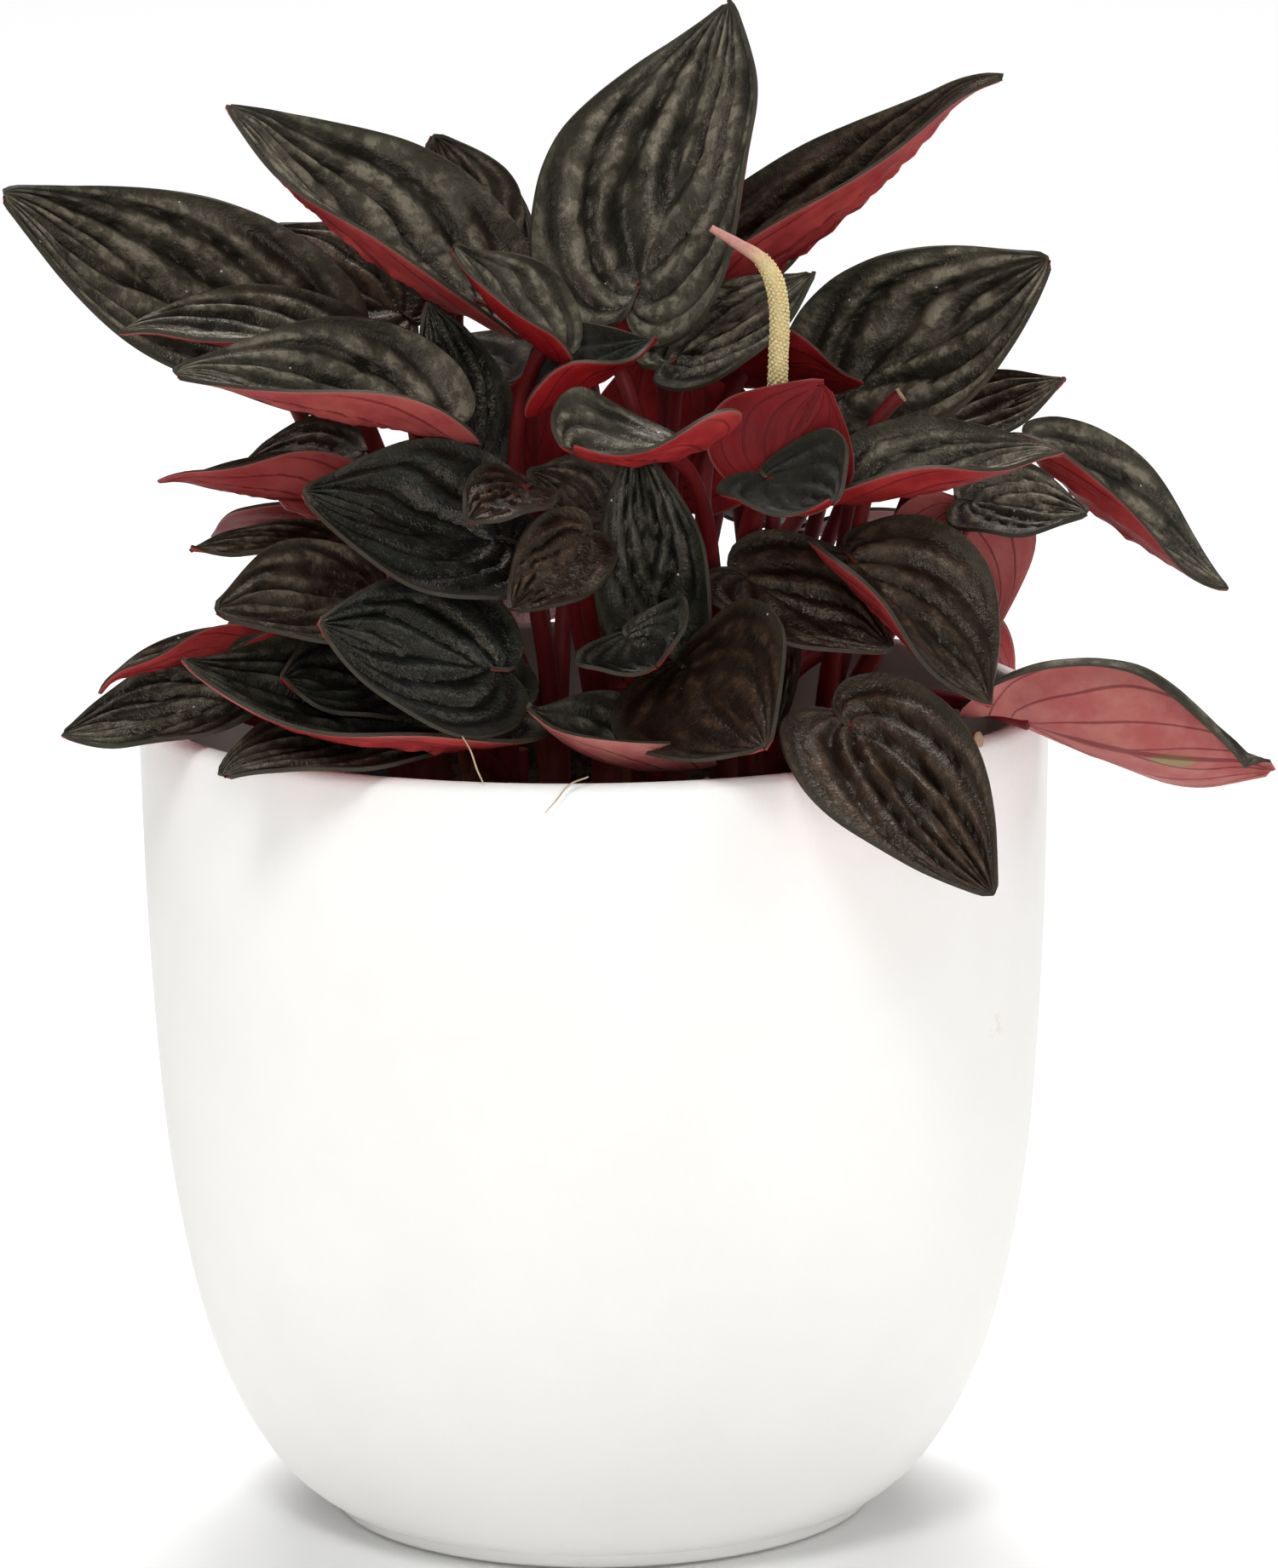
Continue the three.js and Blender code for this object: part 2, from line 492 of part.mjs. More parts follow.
const peperomia = new THREE.Group();
const add = (name, geometry, look) => {
  const mesh = new THREE.Mesh(geometry, look);
  mesh.name = name;
  peperomia.add(mesh);
};
add('cover_pot', potGeometry(), ceramic);
add('nursery_pot', nurseryGeometry(), plastic);
add('soil', geometryOf(soilSolid()), peat);
for (const [name, shoot] of Object.entries(SHOOTS)) {
  add(name, geometryOf(shootSolid(name, shoot)), foliage);
}
add('flower_stalk', spikeStalkGeometry(), redStalk);
add('flower_spike', spikeGeometry(), blossom);

export default peperomia;
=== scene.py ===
# %% [markdown]
# # A ripple peperomia in a white cover pot
# The plant is a clump of fourteen leafy shoots. Its leaves are thick and rippled, dark green above
# and red below, each on its own red stalk. It grows in a thin nursery pot of peat, and that pot
# stands inside a matt white ceramic one. The lesson goes from the outside in: view and light, the
# pots, the soil, then one leaf, then all of them, and last the flower. Everything is in metres.
# Sizes are written in millimetres and multiplied by MM.

# %% Load the frame
import json
import math
import random

import bpy
import numpy as np
from mathutils import Matrix, Vector, noise

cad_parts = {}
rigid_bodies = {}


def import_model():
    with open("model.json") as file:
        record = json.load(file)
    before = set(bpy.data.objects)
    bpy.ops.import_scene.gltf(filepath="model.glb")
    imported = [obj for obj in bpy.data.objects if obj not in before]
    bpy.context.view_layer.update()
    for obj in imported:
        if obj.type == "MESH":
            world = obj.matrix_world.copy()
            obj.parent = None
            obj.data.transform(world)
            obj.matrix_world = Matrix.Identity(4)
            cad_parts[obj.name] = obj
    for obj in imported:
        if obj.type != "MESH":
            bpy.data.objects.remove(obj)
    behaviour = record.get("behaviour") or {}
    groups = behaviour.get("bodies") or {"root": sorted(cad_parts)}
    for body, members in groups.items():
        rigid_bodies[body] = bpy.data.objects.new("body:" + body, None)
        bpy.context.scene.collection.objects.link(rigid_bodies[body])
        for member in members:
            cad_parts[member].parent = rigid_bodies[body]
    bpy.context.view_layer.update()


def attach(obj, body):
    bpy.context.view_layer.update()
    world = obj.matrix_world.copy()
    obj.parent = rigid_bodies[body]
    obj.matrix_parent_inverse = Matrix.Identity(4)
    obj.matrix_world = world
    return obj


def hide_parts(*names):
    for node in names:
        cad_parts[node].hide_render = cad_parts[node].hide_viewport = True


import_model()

MM = 0.001
bpy.ops.object.select_all(action="DESELECT")

# %% [markdown]
# ## The view
# A plant of this size is shown from a little above its rim, from a metre away, with a long lens so
# that the pot's sides stay nearly upright. A camera's own axes are right, up and backwards, so its
# matrix can be written down from the three directions, which is exact and needs no aiming.

# %% Camera
PITCH, LEAN = 0.1957, -0.0118  # radians
CAMERA_PLACE = (0.00683, -1.1, 0.33096)
SENSOR_WIDTH, FOCAL_LENGTH = 36, 166.82  # mm

across, rise = Vector((1, 0, 0)), Vector((0, math.sin(PITCH), math.cos(PITCH)))
ahead = Vector((0, math.cos(PITCH), -math.sin(PITCH)))
camera_right = math.cos(LEAN) * across + math.sin(LEAN) * rise
camera_up = math.cos(LEAN) * rise - math.sin(LEAN) * across
bpy.ops.object.camera_add()
camera = bpy.context.object
camera_axes = Matrix((camera_right, camera_up, -ahead)).transposed().to_4x4()
camera.matrix_world = Matrix.Translation(CAMERA_PLACE) @ camera_axes
camera.data.sensor_width, camera.data.lens = SENSOR_WIDTH, FOCAL_LENGTH
camera.data.clip_end = 30
bpy.context.scene.camera = camera
print("camera at", tuple(round(v, 3) for v in camera.location))

# %% [markdown]
# ## The floor
# The set is a plain white sheet. It lies a hair below the pot's foot, because two surfaces at the
# same height flicker. Each finish starts from a new material with one shader, made by a helper.

# %% Floor
FLOOR_SIZE, FLOOR_PLACE = 12, (0, 2, -0.0004)


def surface(name, roughness, specular=0.5):
    """A new material with nodes, and its shader."""
    material = bpy.data.materials.new(name)
    material.use_nodes = True
    shader = material.node_tree.nodes["Principled BSDF"]
    shader.inputs["Roughness"].default_value = roughness
    shader.inputs["Specular IOR Level"].default_value = specular
    return material, shader


def dress(piece, *materials):
    """Give a piece its finishes, in order."""
    for material in materials:
        piece.data.materials.append(material)


paper, shader = surface("floor_paper", 0.9, 0.1)
shader.inputs["Base Color"].default_value = (0.93, 0.93, 0.93, 1)
bpy.ops.mesh.primitive_plane_add(size=FLOOR_SIZE, location=FLOOR_PLACE)
floor = bpy.context.object
floor.name = "floor"
dress(floor, paper)
print("floor:", FLOOR_SIZE, "m wide")

# %% [markdown]
# ## Light
# The pot should come out almost as bright as the floor, and the dark leaves should show soft
# highlights on their ripples. Area lights do that: the larger, the softer. One box stands in front
# and above, one low in front, one on each side, and one behind for the leaves' edges. The largest,
# far behind, whitens the floor. It is hidden from reflections, or it would lay a silver film on every
# leaf that leans away. A pale world fills the shadows.

# %% Lights
LIGHT_TARGET = Vector((0, 0, 0.13))


def soft_box(name, azimuth, elevation, distance, size, power, mirrored=True):
    """A square area light that looks at the plant; azimuth 0 is in front, 90 on the right."""
    a, e = math.radians(azimuth), math.radians(elevation)
    out = Vector((math.sin(a) * math.cos(e), -math.cos(a) * math.cos(e), math.sin(e)))
    bpy.ops.object.light_add(type="AREA", location=LIGHT_TARGET + out * distance)
    light = bpy.context.object
    light.name = name
    light.rotation_euler = (-out).to_track_quat("-Z", "Y").to_euler()
    light.data.size, light.data.energy = size, power
    light.visible_glossy = mirrored
    print(name, power, "W")


soft_box("box_front", -14, 48, 1.3, 0.35, 5.9)
soft_box("box_low", 4, 4, 1.4, 0.5, 4.6)
soft_box("box_left", -76, 24, 1.3, 0.7, 1.7)
soft_box("box_right", 74, 24, 1.3, 0.7, 3.4)
soft_box("box_top", 176, 66, 1.5, 0.6, 10)
soft_box("box_floor", 180, 50, 4.2, 3.6, 150, mirrored=False)

bpy.context.scene.view_settings.view_transform = "Standard"
world = bpy.data.worlds.new("studio")
world.use_nodes = True
background = world.node_tree.nodes["Background"]
background.inputs["Color"].default_value = (1, 0.99, 0.98, 1)
background.inputs["Strength"].default_value = 0.15
bpy.context.scene.world = world

# %% [markdown]
# ## Round bodies
# Pots and soil are round. Such a thing can be spun from a profile or grown ring by ring. Growing it
# from a filled circle, as by hand, leaves a closed body with an even net of quads, so the lip stays
# crisp and nothing has to be merged on the axis. A soft profile is a curve through a few points.

# %% A turned body, ring by ring
def smooth_path(points, parts):
    """Points on a curve through all the given ones, with so many parts to each span."""
    p = np.array(points, float)
    p = np.vstack([2 * p[0] - p[1], p, 2 * p[-1] - p[-2]])
    out = []
    for i in range(1, len(p) - 2):
        for t in np.arange(parts) / parts:
            a, b, c, d = p[i - 1:i + 3]
            out.append(0.5 * (2 * b + (c - a) * t + (2 * a - 5 * b + 4 * c - d) * t * t
                              + (3 * b - 3 * c + d - a) * t ** 3))
    out.append(p[-2])
    return [tuple(q) for q in out]


def smooth_shading(degrees):
    """Smooth the active object, apart from edges sharper than that."""
    bpy.ops.object.shade_smooth_by_angle(angle=math.radians(degrees))


def turned(name, profile, segments):
    """A closed round body from (radius, height) rings in mm, the first and last ring filled."""
    (r0, z0), *rest = profile
    bpy.ops.mesh.primitive_circle_add(vertices=segments, radius=r0 * MM, fill_type="NGON",
                                      location=(0, 0, z0 * MM))
    body = bpy.context.object
    body.name = name
    bpy.ops.object.transform_apply(location=True, rotation=True, scale=True)
    bpy.ops.object.mode_set(mode="EDIT")
    bpy.ops.mesh.select_all(action="SELECT")
    for r, z in rest:
        bpy.ops.mesh.extrude_region_move(TRANSFORM_OT_translate={"value": (0, 0, (z - z0) * MM)})
        bpy.ops.transform.resize(value=(r / r0, r / r0, 1), center_override=(0, 0, z * MM))
        r0, z0 = r, z
    bpy.ops.mesh.select_all(action="SELECT")
    bpy.ops.mesh.normals_make_consistent(inside=False)
    bpy.ops.object.mode_set(mode="OBJECT")
    smooth_shading(50)
    print(name, len(body.data.polygons), "faces")
    return body


# %% [markdown]
# ## The cover pot
# The pot is one piece of slip-cast stoneware: a small flat foot, a bowl that rises almost straight
# to the rim, and a rounded lip. Slip leaves a wall of even thickness, so the inside is the outside
# moved inwards.

# %% Cover pot
WALL = 3.2
BOWL = [(44.6, 2.8), (47.6, 5), (51.5, 9), (56.5, 17), (61, 28), (64.4, 42), (67.3, 62), (69.2, 92),
        (70, 124.4)]
LIP = [(70, 124.4), (69.65, 125.7), (68.7, 126.5), (67.7, 126.45), (67, 125.7), (66.8, 124.2)]
FOOT = [(41.6, 0), (42.05, 0.25), (42.2, 0.7), (42.25, 2.2), (42.9, 2.6)]

inner_wall = [(r - WALL, z) for r, z in smooth_path(BOWL, 3) if 12 < z < 122][::-1]
profile = FOOT + smooth_path(BOWL, 5) + smooth_path(LIP, 3)[1:] + inner_wall
cover_pot = turned("cover_pot_ceramic", profile + [(47.5, 9), (45, 7.3), (40, 7), (12, 7)], 128)

# %% [markdown]
# ## Helpers for finishes
# A finish is a small graph of nodes. Written out in full it hides what it does, so a class holds the
# material, and each kind of step is a short method: a sum, a soft threshold, a blend of colours,
# noise and a bump. Noise is read on object coordinates, in metres, so its grain has a real size.

# %% Node helpers
SETTINGS = ("operation", "data_type", "interpolation_type", "attribute_name")


class Finish:
    """A material whose look is built from nodes; place is where a point is on its object."""

    def __init__(self, name, roughness=0.5, specular=0.5):
        self.material, self.shader = surface(name, roughness, specular)
        self.tree = self.material.node_tree
        self.place = self.node("TexCoord").outputs["Object"]

    def node(self, kind, **values):
        """A node of that kind. Each socket, by its name or as i and its number, gets a value or
        another node's output."""
        made = self.tree.nodes.new("ShaderNode" + kind)
        for key, value in values.items():
            if key in SETTINGS:
                setattr(made, key, value)
                continue
            numbered = key[0] == "i" and key[1:].isdigit()
            socket = made.inputs[int(key[1:]) if numbered else key.replace("_", " ")]
            if isinstance(value, bpy.types.NodeSocket):
                self.tree.links.new(value, socket)
            else:
                socket.default_value = value
        return made

    def join(self, socket, value):
        """Lead a value or colour to the shader."""
        self.tree.links.new(value, self.shader.inputs[socket])

    def attribute(self, name):
        """A number kept with the mesh."""
        return self.node("Attribute", attribute_name=name).outputs["Fac"]

    def maths(self, operation, *values):
        """The result of one step of arithmetic."""
        inputs = {f"i{i}": v for i, v in enumerate(values)}
        return self.node("Math", operation=operation, **inputs).outputs[0]

    def band(self, value, low, high):
        """0 below low and 1 above high, smooth between; low may be the larger one."""
        made = self.node("MapRange", i0=value, i1=low, i2=high, interpolation_type="SMOOTHSTEP")
        return made.outputs[0]

    def blended(self, share, first, second, strength=None):
        """From the first colour to the second, or part of the way with a strength."""
        if strength is not None:
            share = self.maths("MULTIPLY", share, strength)
        first, second = [(*c, 1) if isinstance(c, tuple) else c for c in (first, second)]
        return self.node("Mix", data_type="RGBA", i0=share, i6=first, i7=second).outputs[2]

    def grain(self, scale, detail=3.0, roughness=0.55, place=None):
        """Noise from 0 to 1, with so many waves to a metre."""
        made = self.node("TexNoise", Vector=place or self.place, Scale=scale, Detail=detail,
                         Roughness=roughness)
        return made.outputs["Fac"]

    def raised(self, height, distance, strength=1.0):
        """Bump the surface; distance is the height of the relief in metres."""
        made = self.node("Bump", Height=height, Distance=distance, Strength=strength)
        self.join("Normal", made.outputs[0])


def grainy(look, colours, colour_grain, bump_grain=None, bump=None):
    """A plain finish: noise between two colours, and a fine bump."""
    f = Finish(*look)
    f.join("Base Color", f.blended(f.grain(*colour_grain), *colours))
    if bump_grain:
        f.raised(f.grain(*bump_grain), *bump)
    return f.material


print("settings that aren't sockets:", SETTINGS)

# %% [markdown]
# ## Matt white glaze
# A matt glaze is a warm white that pools slightly unevenly, with a fine grain that shows only in
# grazing light, and a handled pot carries a few faint rubs. Inside, the bare clay is a warm grey. The
# pot is one body, so a face gets its finish by where it is and which way it looks.

# %% Glaze and bare clay
# place and reach of each rub
RUBS = (((0.062, -0.034, 0.082), 0.0045), ((-0.006, -0.045, 0.007), 0.004),
        ((0.009, -0.045, 0.007), 0.003))
GLAZE_END, INNER_FLOOR, INNER_REACH = 125.9 * MM, 6 * MM, 48 * MM

glaze = f = Finish("ceramic_glaze", 0.5, 0.35)
cloud = f.grain(22)
colour = f.blended(f.band(cloud, 0.35, 0.7), (0.925, 0.918, 0.895), (0.895, 0.885, 0.86))
rubbed = None
for spot, size in RUBS:
    near = f.node("VectorMath", operation="DISTANCE", i0=f.place, i1=spot).outputs["Value"]
    scratches = f.band(f.grain(700), 0.52, 0.6)
    mark = f.maths("MULTIPLY", f.band(near, size, 0), scratches)
    rubbed = mark if rubbed is None else f.maths("MAXIMUM", rubbed, mark)
f.join("Base Color", f.blended(rubbed, colour, (0.8, 0.47, 0.36), 0.55))
f.join("Roughness", f.node("MapRange", i0=cloud, i3=0.46, i4=0.6).outputs[0])
f.raised(f.grain(900, 2), 0.00006, 0.6)

clay = grainy(("pot_inside_clay", 0.85), ((0.5, 0.45, 0.41), (0.68, 0.62, 0.57)), (60, 4),
              (1300, 2), (0.0001, 0.7))

dress(cover_pot, glaze.material, clay)
for face in cover_pot.data.polygons:
    inwards = face.normal.xy.dot(face.center.xy) < 0 and face.center.z < GLAZE_END
    inner_floor = face.center.z > INNER_FLOOR and face.center.xy.length < INNER_REACH
    face.material_index = 1 if inwards or inner_floor else 0
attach(cover_pot, "root")
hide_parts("cover_pot")
print("bare clay on", sum(face.material_index for face in cover_pot.data.polygons), "faces")

# %% [markdown]
# ## The nursery pot
# The grower's pot is thin black plastic with a stiff rolled rim. It hides inside the cover pot, so
# its rim matters most. It is grown from rings too. Peat dust dulls the plastic in patches, and one
# noise drives both the colour and the roughness.

# %% Nursery pot
BASE_Z, TOP_Z, BASE_RADIUS, TOP_RADIUS, THICKNESS = 7.3, 111.6, 43, 57.4, 1.1


def nursery_radius(z):
    """The tapering wall's outer radius at a height, in mm."""
    return BASE_RADIUS + (TOP_RADIUS - BASE_RADIUS) * (z - BASE_Z) / (TOP_Z - BASE_Z)


shell = [(41.6, 7.3), (42.6, 7.5)] + [(nursery_radius(z), z) for z in (8.3, 20, 40, 60, 80, 104.6)]
rim = [(58.3, 105), (58.8, 105.4), (59, 106), (59, 110.6), (58.7, 111.3), (58.1, 111.6),
       (57, 111.6), (56.4, 111.2)]
hollow = [(nursery_radius(z) - THICKNESS, z) for z in (109, 104, 60, 20, 9.2)]
nursery = turned("nursery_pot_plastic", shell + rim + hollow + [(40, 8.5), (10, 8.5)], 96)

plastic = f = Finish("black_plastic", 0.42)
dust = f.band(f.grain(140, 5, 0.7), 0.5, 0.72)
f.join("Base Color", f.blended(dust, (0.012, 0.012, 0.012), (0.05, 0.043, 0.036)))
f.join("Roughness", f.node("MapRange", i0=dust, i3=0.38, i4=0.75).outputs[0])
f.raised(f.grain(2200, 2), 0.00005, 0.5)
dress(nursery, plastic.material)
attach(nursery, "root")
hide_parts("nursery_pot")

# %% [markdown]
# ## Peat
# Potting peat is a dark brown crumbly mat, slightly domed after watering. A grown disc gives its
# body, and a Displace modifier with a cloud texture breaks up its top. A vertex group keeps it off
# the side, which has to stay inside the nursery pot.

# %% Soil body
SOIL_EDGE, SOIL_DOME, DOME_REACH = 106, 2.5, 56


def soil_height(r):
    """The height of the domed soil at a distance from the middle, in mm."""
    return SOIL_EDGE + SOIL_DOME * (1 - (r / DOME_REACH) ** 2)


soil_rings = [(41, 8.8), (54.6, 104.5), (54.9, SOIL_EDGE)]
soil_rings += [(r, soil_height(r)) for r in np.arange(53, 2, -1.7)]
soil = turned("peat_soil", soil_rings, 128)
crumbly = bpy.data.textures.new("crumbly", "CLOUDS")
crumbly.noise_scale, crumbly.noise_depth = 0.0055, 4
top_group = soil.vertex_groups.new(name="top")
top = [v.index for v in soil.data.vertices if v.co.z > 0.1058 and v.co.xy.length < 0.0543]
top_group.add(top, 1, "REPLACE")
rough_top = soil.modifiers.new("crumble", "DISPLACE")
rough_top.texture, rough_top.texture_coords, rough_top.vertex_group = crumbly, "LOCAL", "top"
rough_top.direction, rough_top.mid_level, rough_top.strength = "Z", 0.45, 0.005
bpy.ops.object.modifier_apply(modifier="crumble")
print("points of the soil's top:", len(top))

# %% [markdown]
# ## Crumbs and grit
# Loose crumbs and pale grit grains lie on the peat. They are one rough lump copied, stretched and
# turned, each with few faces, because there are many.

# %% Crumbs on the soil
CRUMB_COUNT, PALE_SHARE, FULL_TURN = 420, 0.07, 6.283


def joined(objects, name):
    """Join objects into the first of them and name it."""
    bpy.ops.object.select_all(action="DESELECT")
    for piece in objects:
        piece.select_set(True)
    bpy.context.view_layer.objects.active = objects[0]
    bpy.ops.object.join()
    whole = bpy.context.object
    whole.name = name
    return whole


dice = random.Random(7)
bpy.ops.mesh.primitive_ico_sphere_add(subdivisions=1, radius=1)
lump = bpy.context.object
for v in lump.data.vertices:
    v.co *= 1 + 0.45 * noise.noise(v.co * 1.7)
crumbs, pale = [], []
for i in range(CRUMB_COUNT):
    crumb = lump.copy()
    crumb.data = lump.data.copy()
    reach, turn = 53 * math.sqrt(dice.random()), dice.random() * FULL_TURN
    size = (0.5 + 1.3 * dice.random() ** 2) * MM
    at = Vector((reach * math.cos(turn), reach * math.sin(turn), soil_height(reach) + 0.3)) * MM
    wide = [size * dice.uniform(0.7, 1.5) for _ in range(3)]
    angle = dice.random() * FULL_TURN
    spin = Matrix.Rotation(angle, 4, Vector((dice.random(), dice.random(), dice.random())))
    crumb.data.transform(Matrix.Translation(at) @ spin @ Matrix.Diagonal((*wide, 1)))
    bpy.context.collection.objects.link(crumb)
    (pale if dice.random() < PALE_SHARE else crumbs).append(crumb)
bpy.data.objects.remove(lump)
print(len(crumbs), "crumbs of peat and", len(pale), "grains of grit")

# %% [markdown]
# ## Finishes of peat and grit
# Peat is fibrous and soaks up light, so it gets a fine noise, a high roughness and hardly any gloss.
# Grit is pale stone. The finishes are given before the pieces are joined, and joining keeps them.

# %% Peat and grit
peat = f = Finish("peat", 0.95, 0.2)
fibre_grain = f.grain(420, 6, 0.7)
fibre_share = f.band(fibre_grain, 0.35, 0.7)
f.join("Base Color", f.blended(fibre_share, (0.012, 0.008, 0.006), (0.06, 0.038, 0.024)))
f.raised(fibre_grain, 0.0006, 0.9)

grit = grainy(("pale_grit", 0.8), ((0.32, 0.27, 0.2), (0.55, 0.5, 0.42)), (800,),
              (1800, 3), (0.0002, 0.6))

for piece, material in [(c, peat.material) for c in [soil] + crumbs] + [(c, grit) for c in pale]:
    piece.data.materials.clear()
    dress(piece, material)
soil = joined([soil] + crumbs + pale, "peat_soil")
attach(soil, "root")
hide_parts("soil")
print("soil with crumbs:", len(soil.data.polygons), "faces")

# %% [markdown]
# ## The outline of a blade
# A peperomia blade is heart-shaped and thick. It could be sculpted, but sixty-seven leaves that
# differ only in size and bend are better made from one grid, bent by a formula: alike in kind, and
# none a copy. The grid's rows run from base to tip, so first comes the outline, by how far along the
# edge one has walked.

# %% Outline
USUAL_HALF_WIDTH = 0.42  # in blade lengths
# half the flat outline: along the midrib in blade lengths, and across in half widths
OUTLINE = [(0, 0), (-0.07, 0.005), (-0.125, 0.025), (-0.175, 0.16), (-0.195, 0.3), (-0.185, 0.46),
           (-0.125, 0.7), (0, 0.89), (0.15, 0.985), (0.28, 1), (0.43, 0.94), (0.58, 0.79),
           (0.73, 0.57), (0.85, 0.345), (0.93, 0.185), (0.978, 0.085), (1, 0)]
edge = np.array(smooth_path([(s, w * USUAL_HALF_WIDTH) for s, w in OUTLINE], 16))
edge_run = np.concatenate([[0], np.cumsum(np.hypot(*np.diff(edge, axis=0).T))])
edge_run /= edge_run[-1]


def outline_at(q):
    """The edge's place for a share q of its run from the base to the tip."""
    across_edge = np.clip(np.interp(q, edge_run, edge[:, 1]), 0, None)
    return np.interp(q, edge_run, edge[:, 0]), across_edge / USUAL_HALF_WIDTH


print("the lobes reach", round(-edge[:, 0].min(), 3), "blade lengths behind the stalk")

# %% [markdown]
# ## Bending a blade
# A real blade is folded up along its midrib like a trough, bowed along it, often hooked at its tip
# and sometimes twisted. Folding is a circle across the blade, and bowing is a slope that changes
# along it. The slopes are added up and then scaled, so that base and tip come out exactly where they
# should be. An edge that has dried and rolled under is a second, tighter circle past a hinge line.

# %% The bent middle surface
EDGE_ROLL = 1.7  # radius of a rolled edge
HOOK_START, HOOK_RUN, HOOK_POWER = 0.82, 0.18, 1.3
NO_HINGE = 2.0


def unit(v):
    """The vector at length 1."""
    return v / np.linalg.norm(v)


class Blade:
    """The bent middle surface of one blade, in mm."""

    def __init__(self, base, tip, width, face, bend):
        self.start, self.width = np.array(base, float), width
        along = np.array(tip, float) - self.start
        self.length = np.linalg.norm(along)
        self.along = along / self.length
        up = np.array(face, float)
        self.up = unit(up - up.dot(self.along) * self.along)
        self.across = np.cross(self.up, self.along)
        fold, bow, hook, twist = np.radians((*bend, 0, 0, 0)[:4])
        self.fold, self.twist = max(fold, 1e-6), twist
        self.s = np.linspace(-0.2, 1, 121)
        hooked = np.clip((self.s - HOOK_START) / HOOK_RUN, 0, 1) ** HOOK_POWER
        self.slopes = bow * (0.5 - self.s) - hook * hooked
        mean = (self.slopes[1:] + self.slopes[:-1]) / 2
        step = self.s[1] - self.s[0]
        run = np.concatenate([[0], np.cumsum(step * np.cos(mean))])
        lift = np.concatenate([[0], np.cumsum(step * np.sin(mean))])
        run, lift = run - np.interp(0, self.s, run), lift - np.interp(0, self.s, lift)
        self.tilt = math.atan2(lift[-1], run[-1])
        scale = self.length / math.hypot(run[-1], lift[-1])
        cos, sin = math.cos(self.tilt) * scale, math.sin(self.tilt) * scale
        self.run, self.lift = run * cos + lift * sin, lift * cos - run * sin

    def point(self, s, w, lift, hinge=NO_HINGE):
        """Points s blade lengths along and w half widths across, raised by lift mm. Past its hinge
        a side curls back under in a tight roll."""
        flat = np.minimum(np.abs(w), hinge)
        arc, radius = self.fold * flat, self.width / 2 / self.fold
        rolled = arc - (np.abs(w) - flat) * self.width / 2 / EDGE_ROLL
        flat_y = radius * np.sin(arc) + EDGE_ROLL * (np.sin(arc) - np.sin(rolled))
        flat_z = radius * (1 - np.cos(arc)) + EDGE_ROLL * (np.cos(rolled) - np.cos(arc))
        flat_y = np.sign(w) * (flat_y - lift * np.sin(rolled))
        flat_z = flat_z + lift * np.cos(rolled)
        turn = self.twist * (s - 0.3)
        y = flat_y * np.cos(turn) - flat_z * np.sin(turn)
        z = flat_y * np.sin(turn) + flat_z * np.cos(turn)
        slope = np.interp(s, self.s, self.slopes) - self.tilt
        x = np.interp(s, self.s, self.run) - z * np.sin(slope)
        h = np.interp(s, self.s, self.lift) + z * np.cos(slope)
        return self.start + np.outer(x, self.along) + np.outer(y, self.across) + np.outer(h, self.up)


trial = Blade((0, 0, 0), (40, 0, 0), 30, (0, 0, 1), (60, -20))
print("a trial blade sags", round(-trial.point(np.array([0.5]), np.zeros(1), 0)[0, 2], 1), "mm")

# %% [markdown]
# ## Ripples and quilting
# The relief is a height in millimetres for each point of the grid. Its valleys are the main veins.
# They fan out of the stalk, run side by side towards the tip and reach the edge one after another, so
# one number, here called the vein phase, grows by one from vein to vein, and a sine of it gives
# rounded ripples. Small blisters between cross veins come from the distance to the nearest cell wall.
# The ripples die out towards the edge, which waves, and where the blade is narrow.

# %% Relief of a blade
# veins for each half width, and how they sweep towards the tip
VEIN_SPACING, VEIN_SWEEP, VEIN_POWER = 0.29, 0.6, 0.9
VEIN_DRIFT, CELL_LENGTH = 0.42, 6.5
# how high the ripples are from the midrib to the edge
ACROSS = [0, 0.04, 0.14, 0.68, 0.88, 1]
RIPPLE_ACROSS = [0.3, 0.5, 1, 0.75, 0.12, 0]
RIGHT_SIDE, LEFT_SIDE = 3.7, -2.9  # keep the noise of the two sides apart
noise.seed_set(7)  # without it noise_vector, and with it the blisters, differ at every run


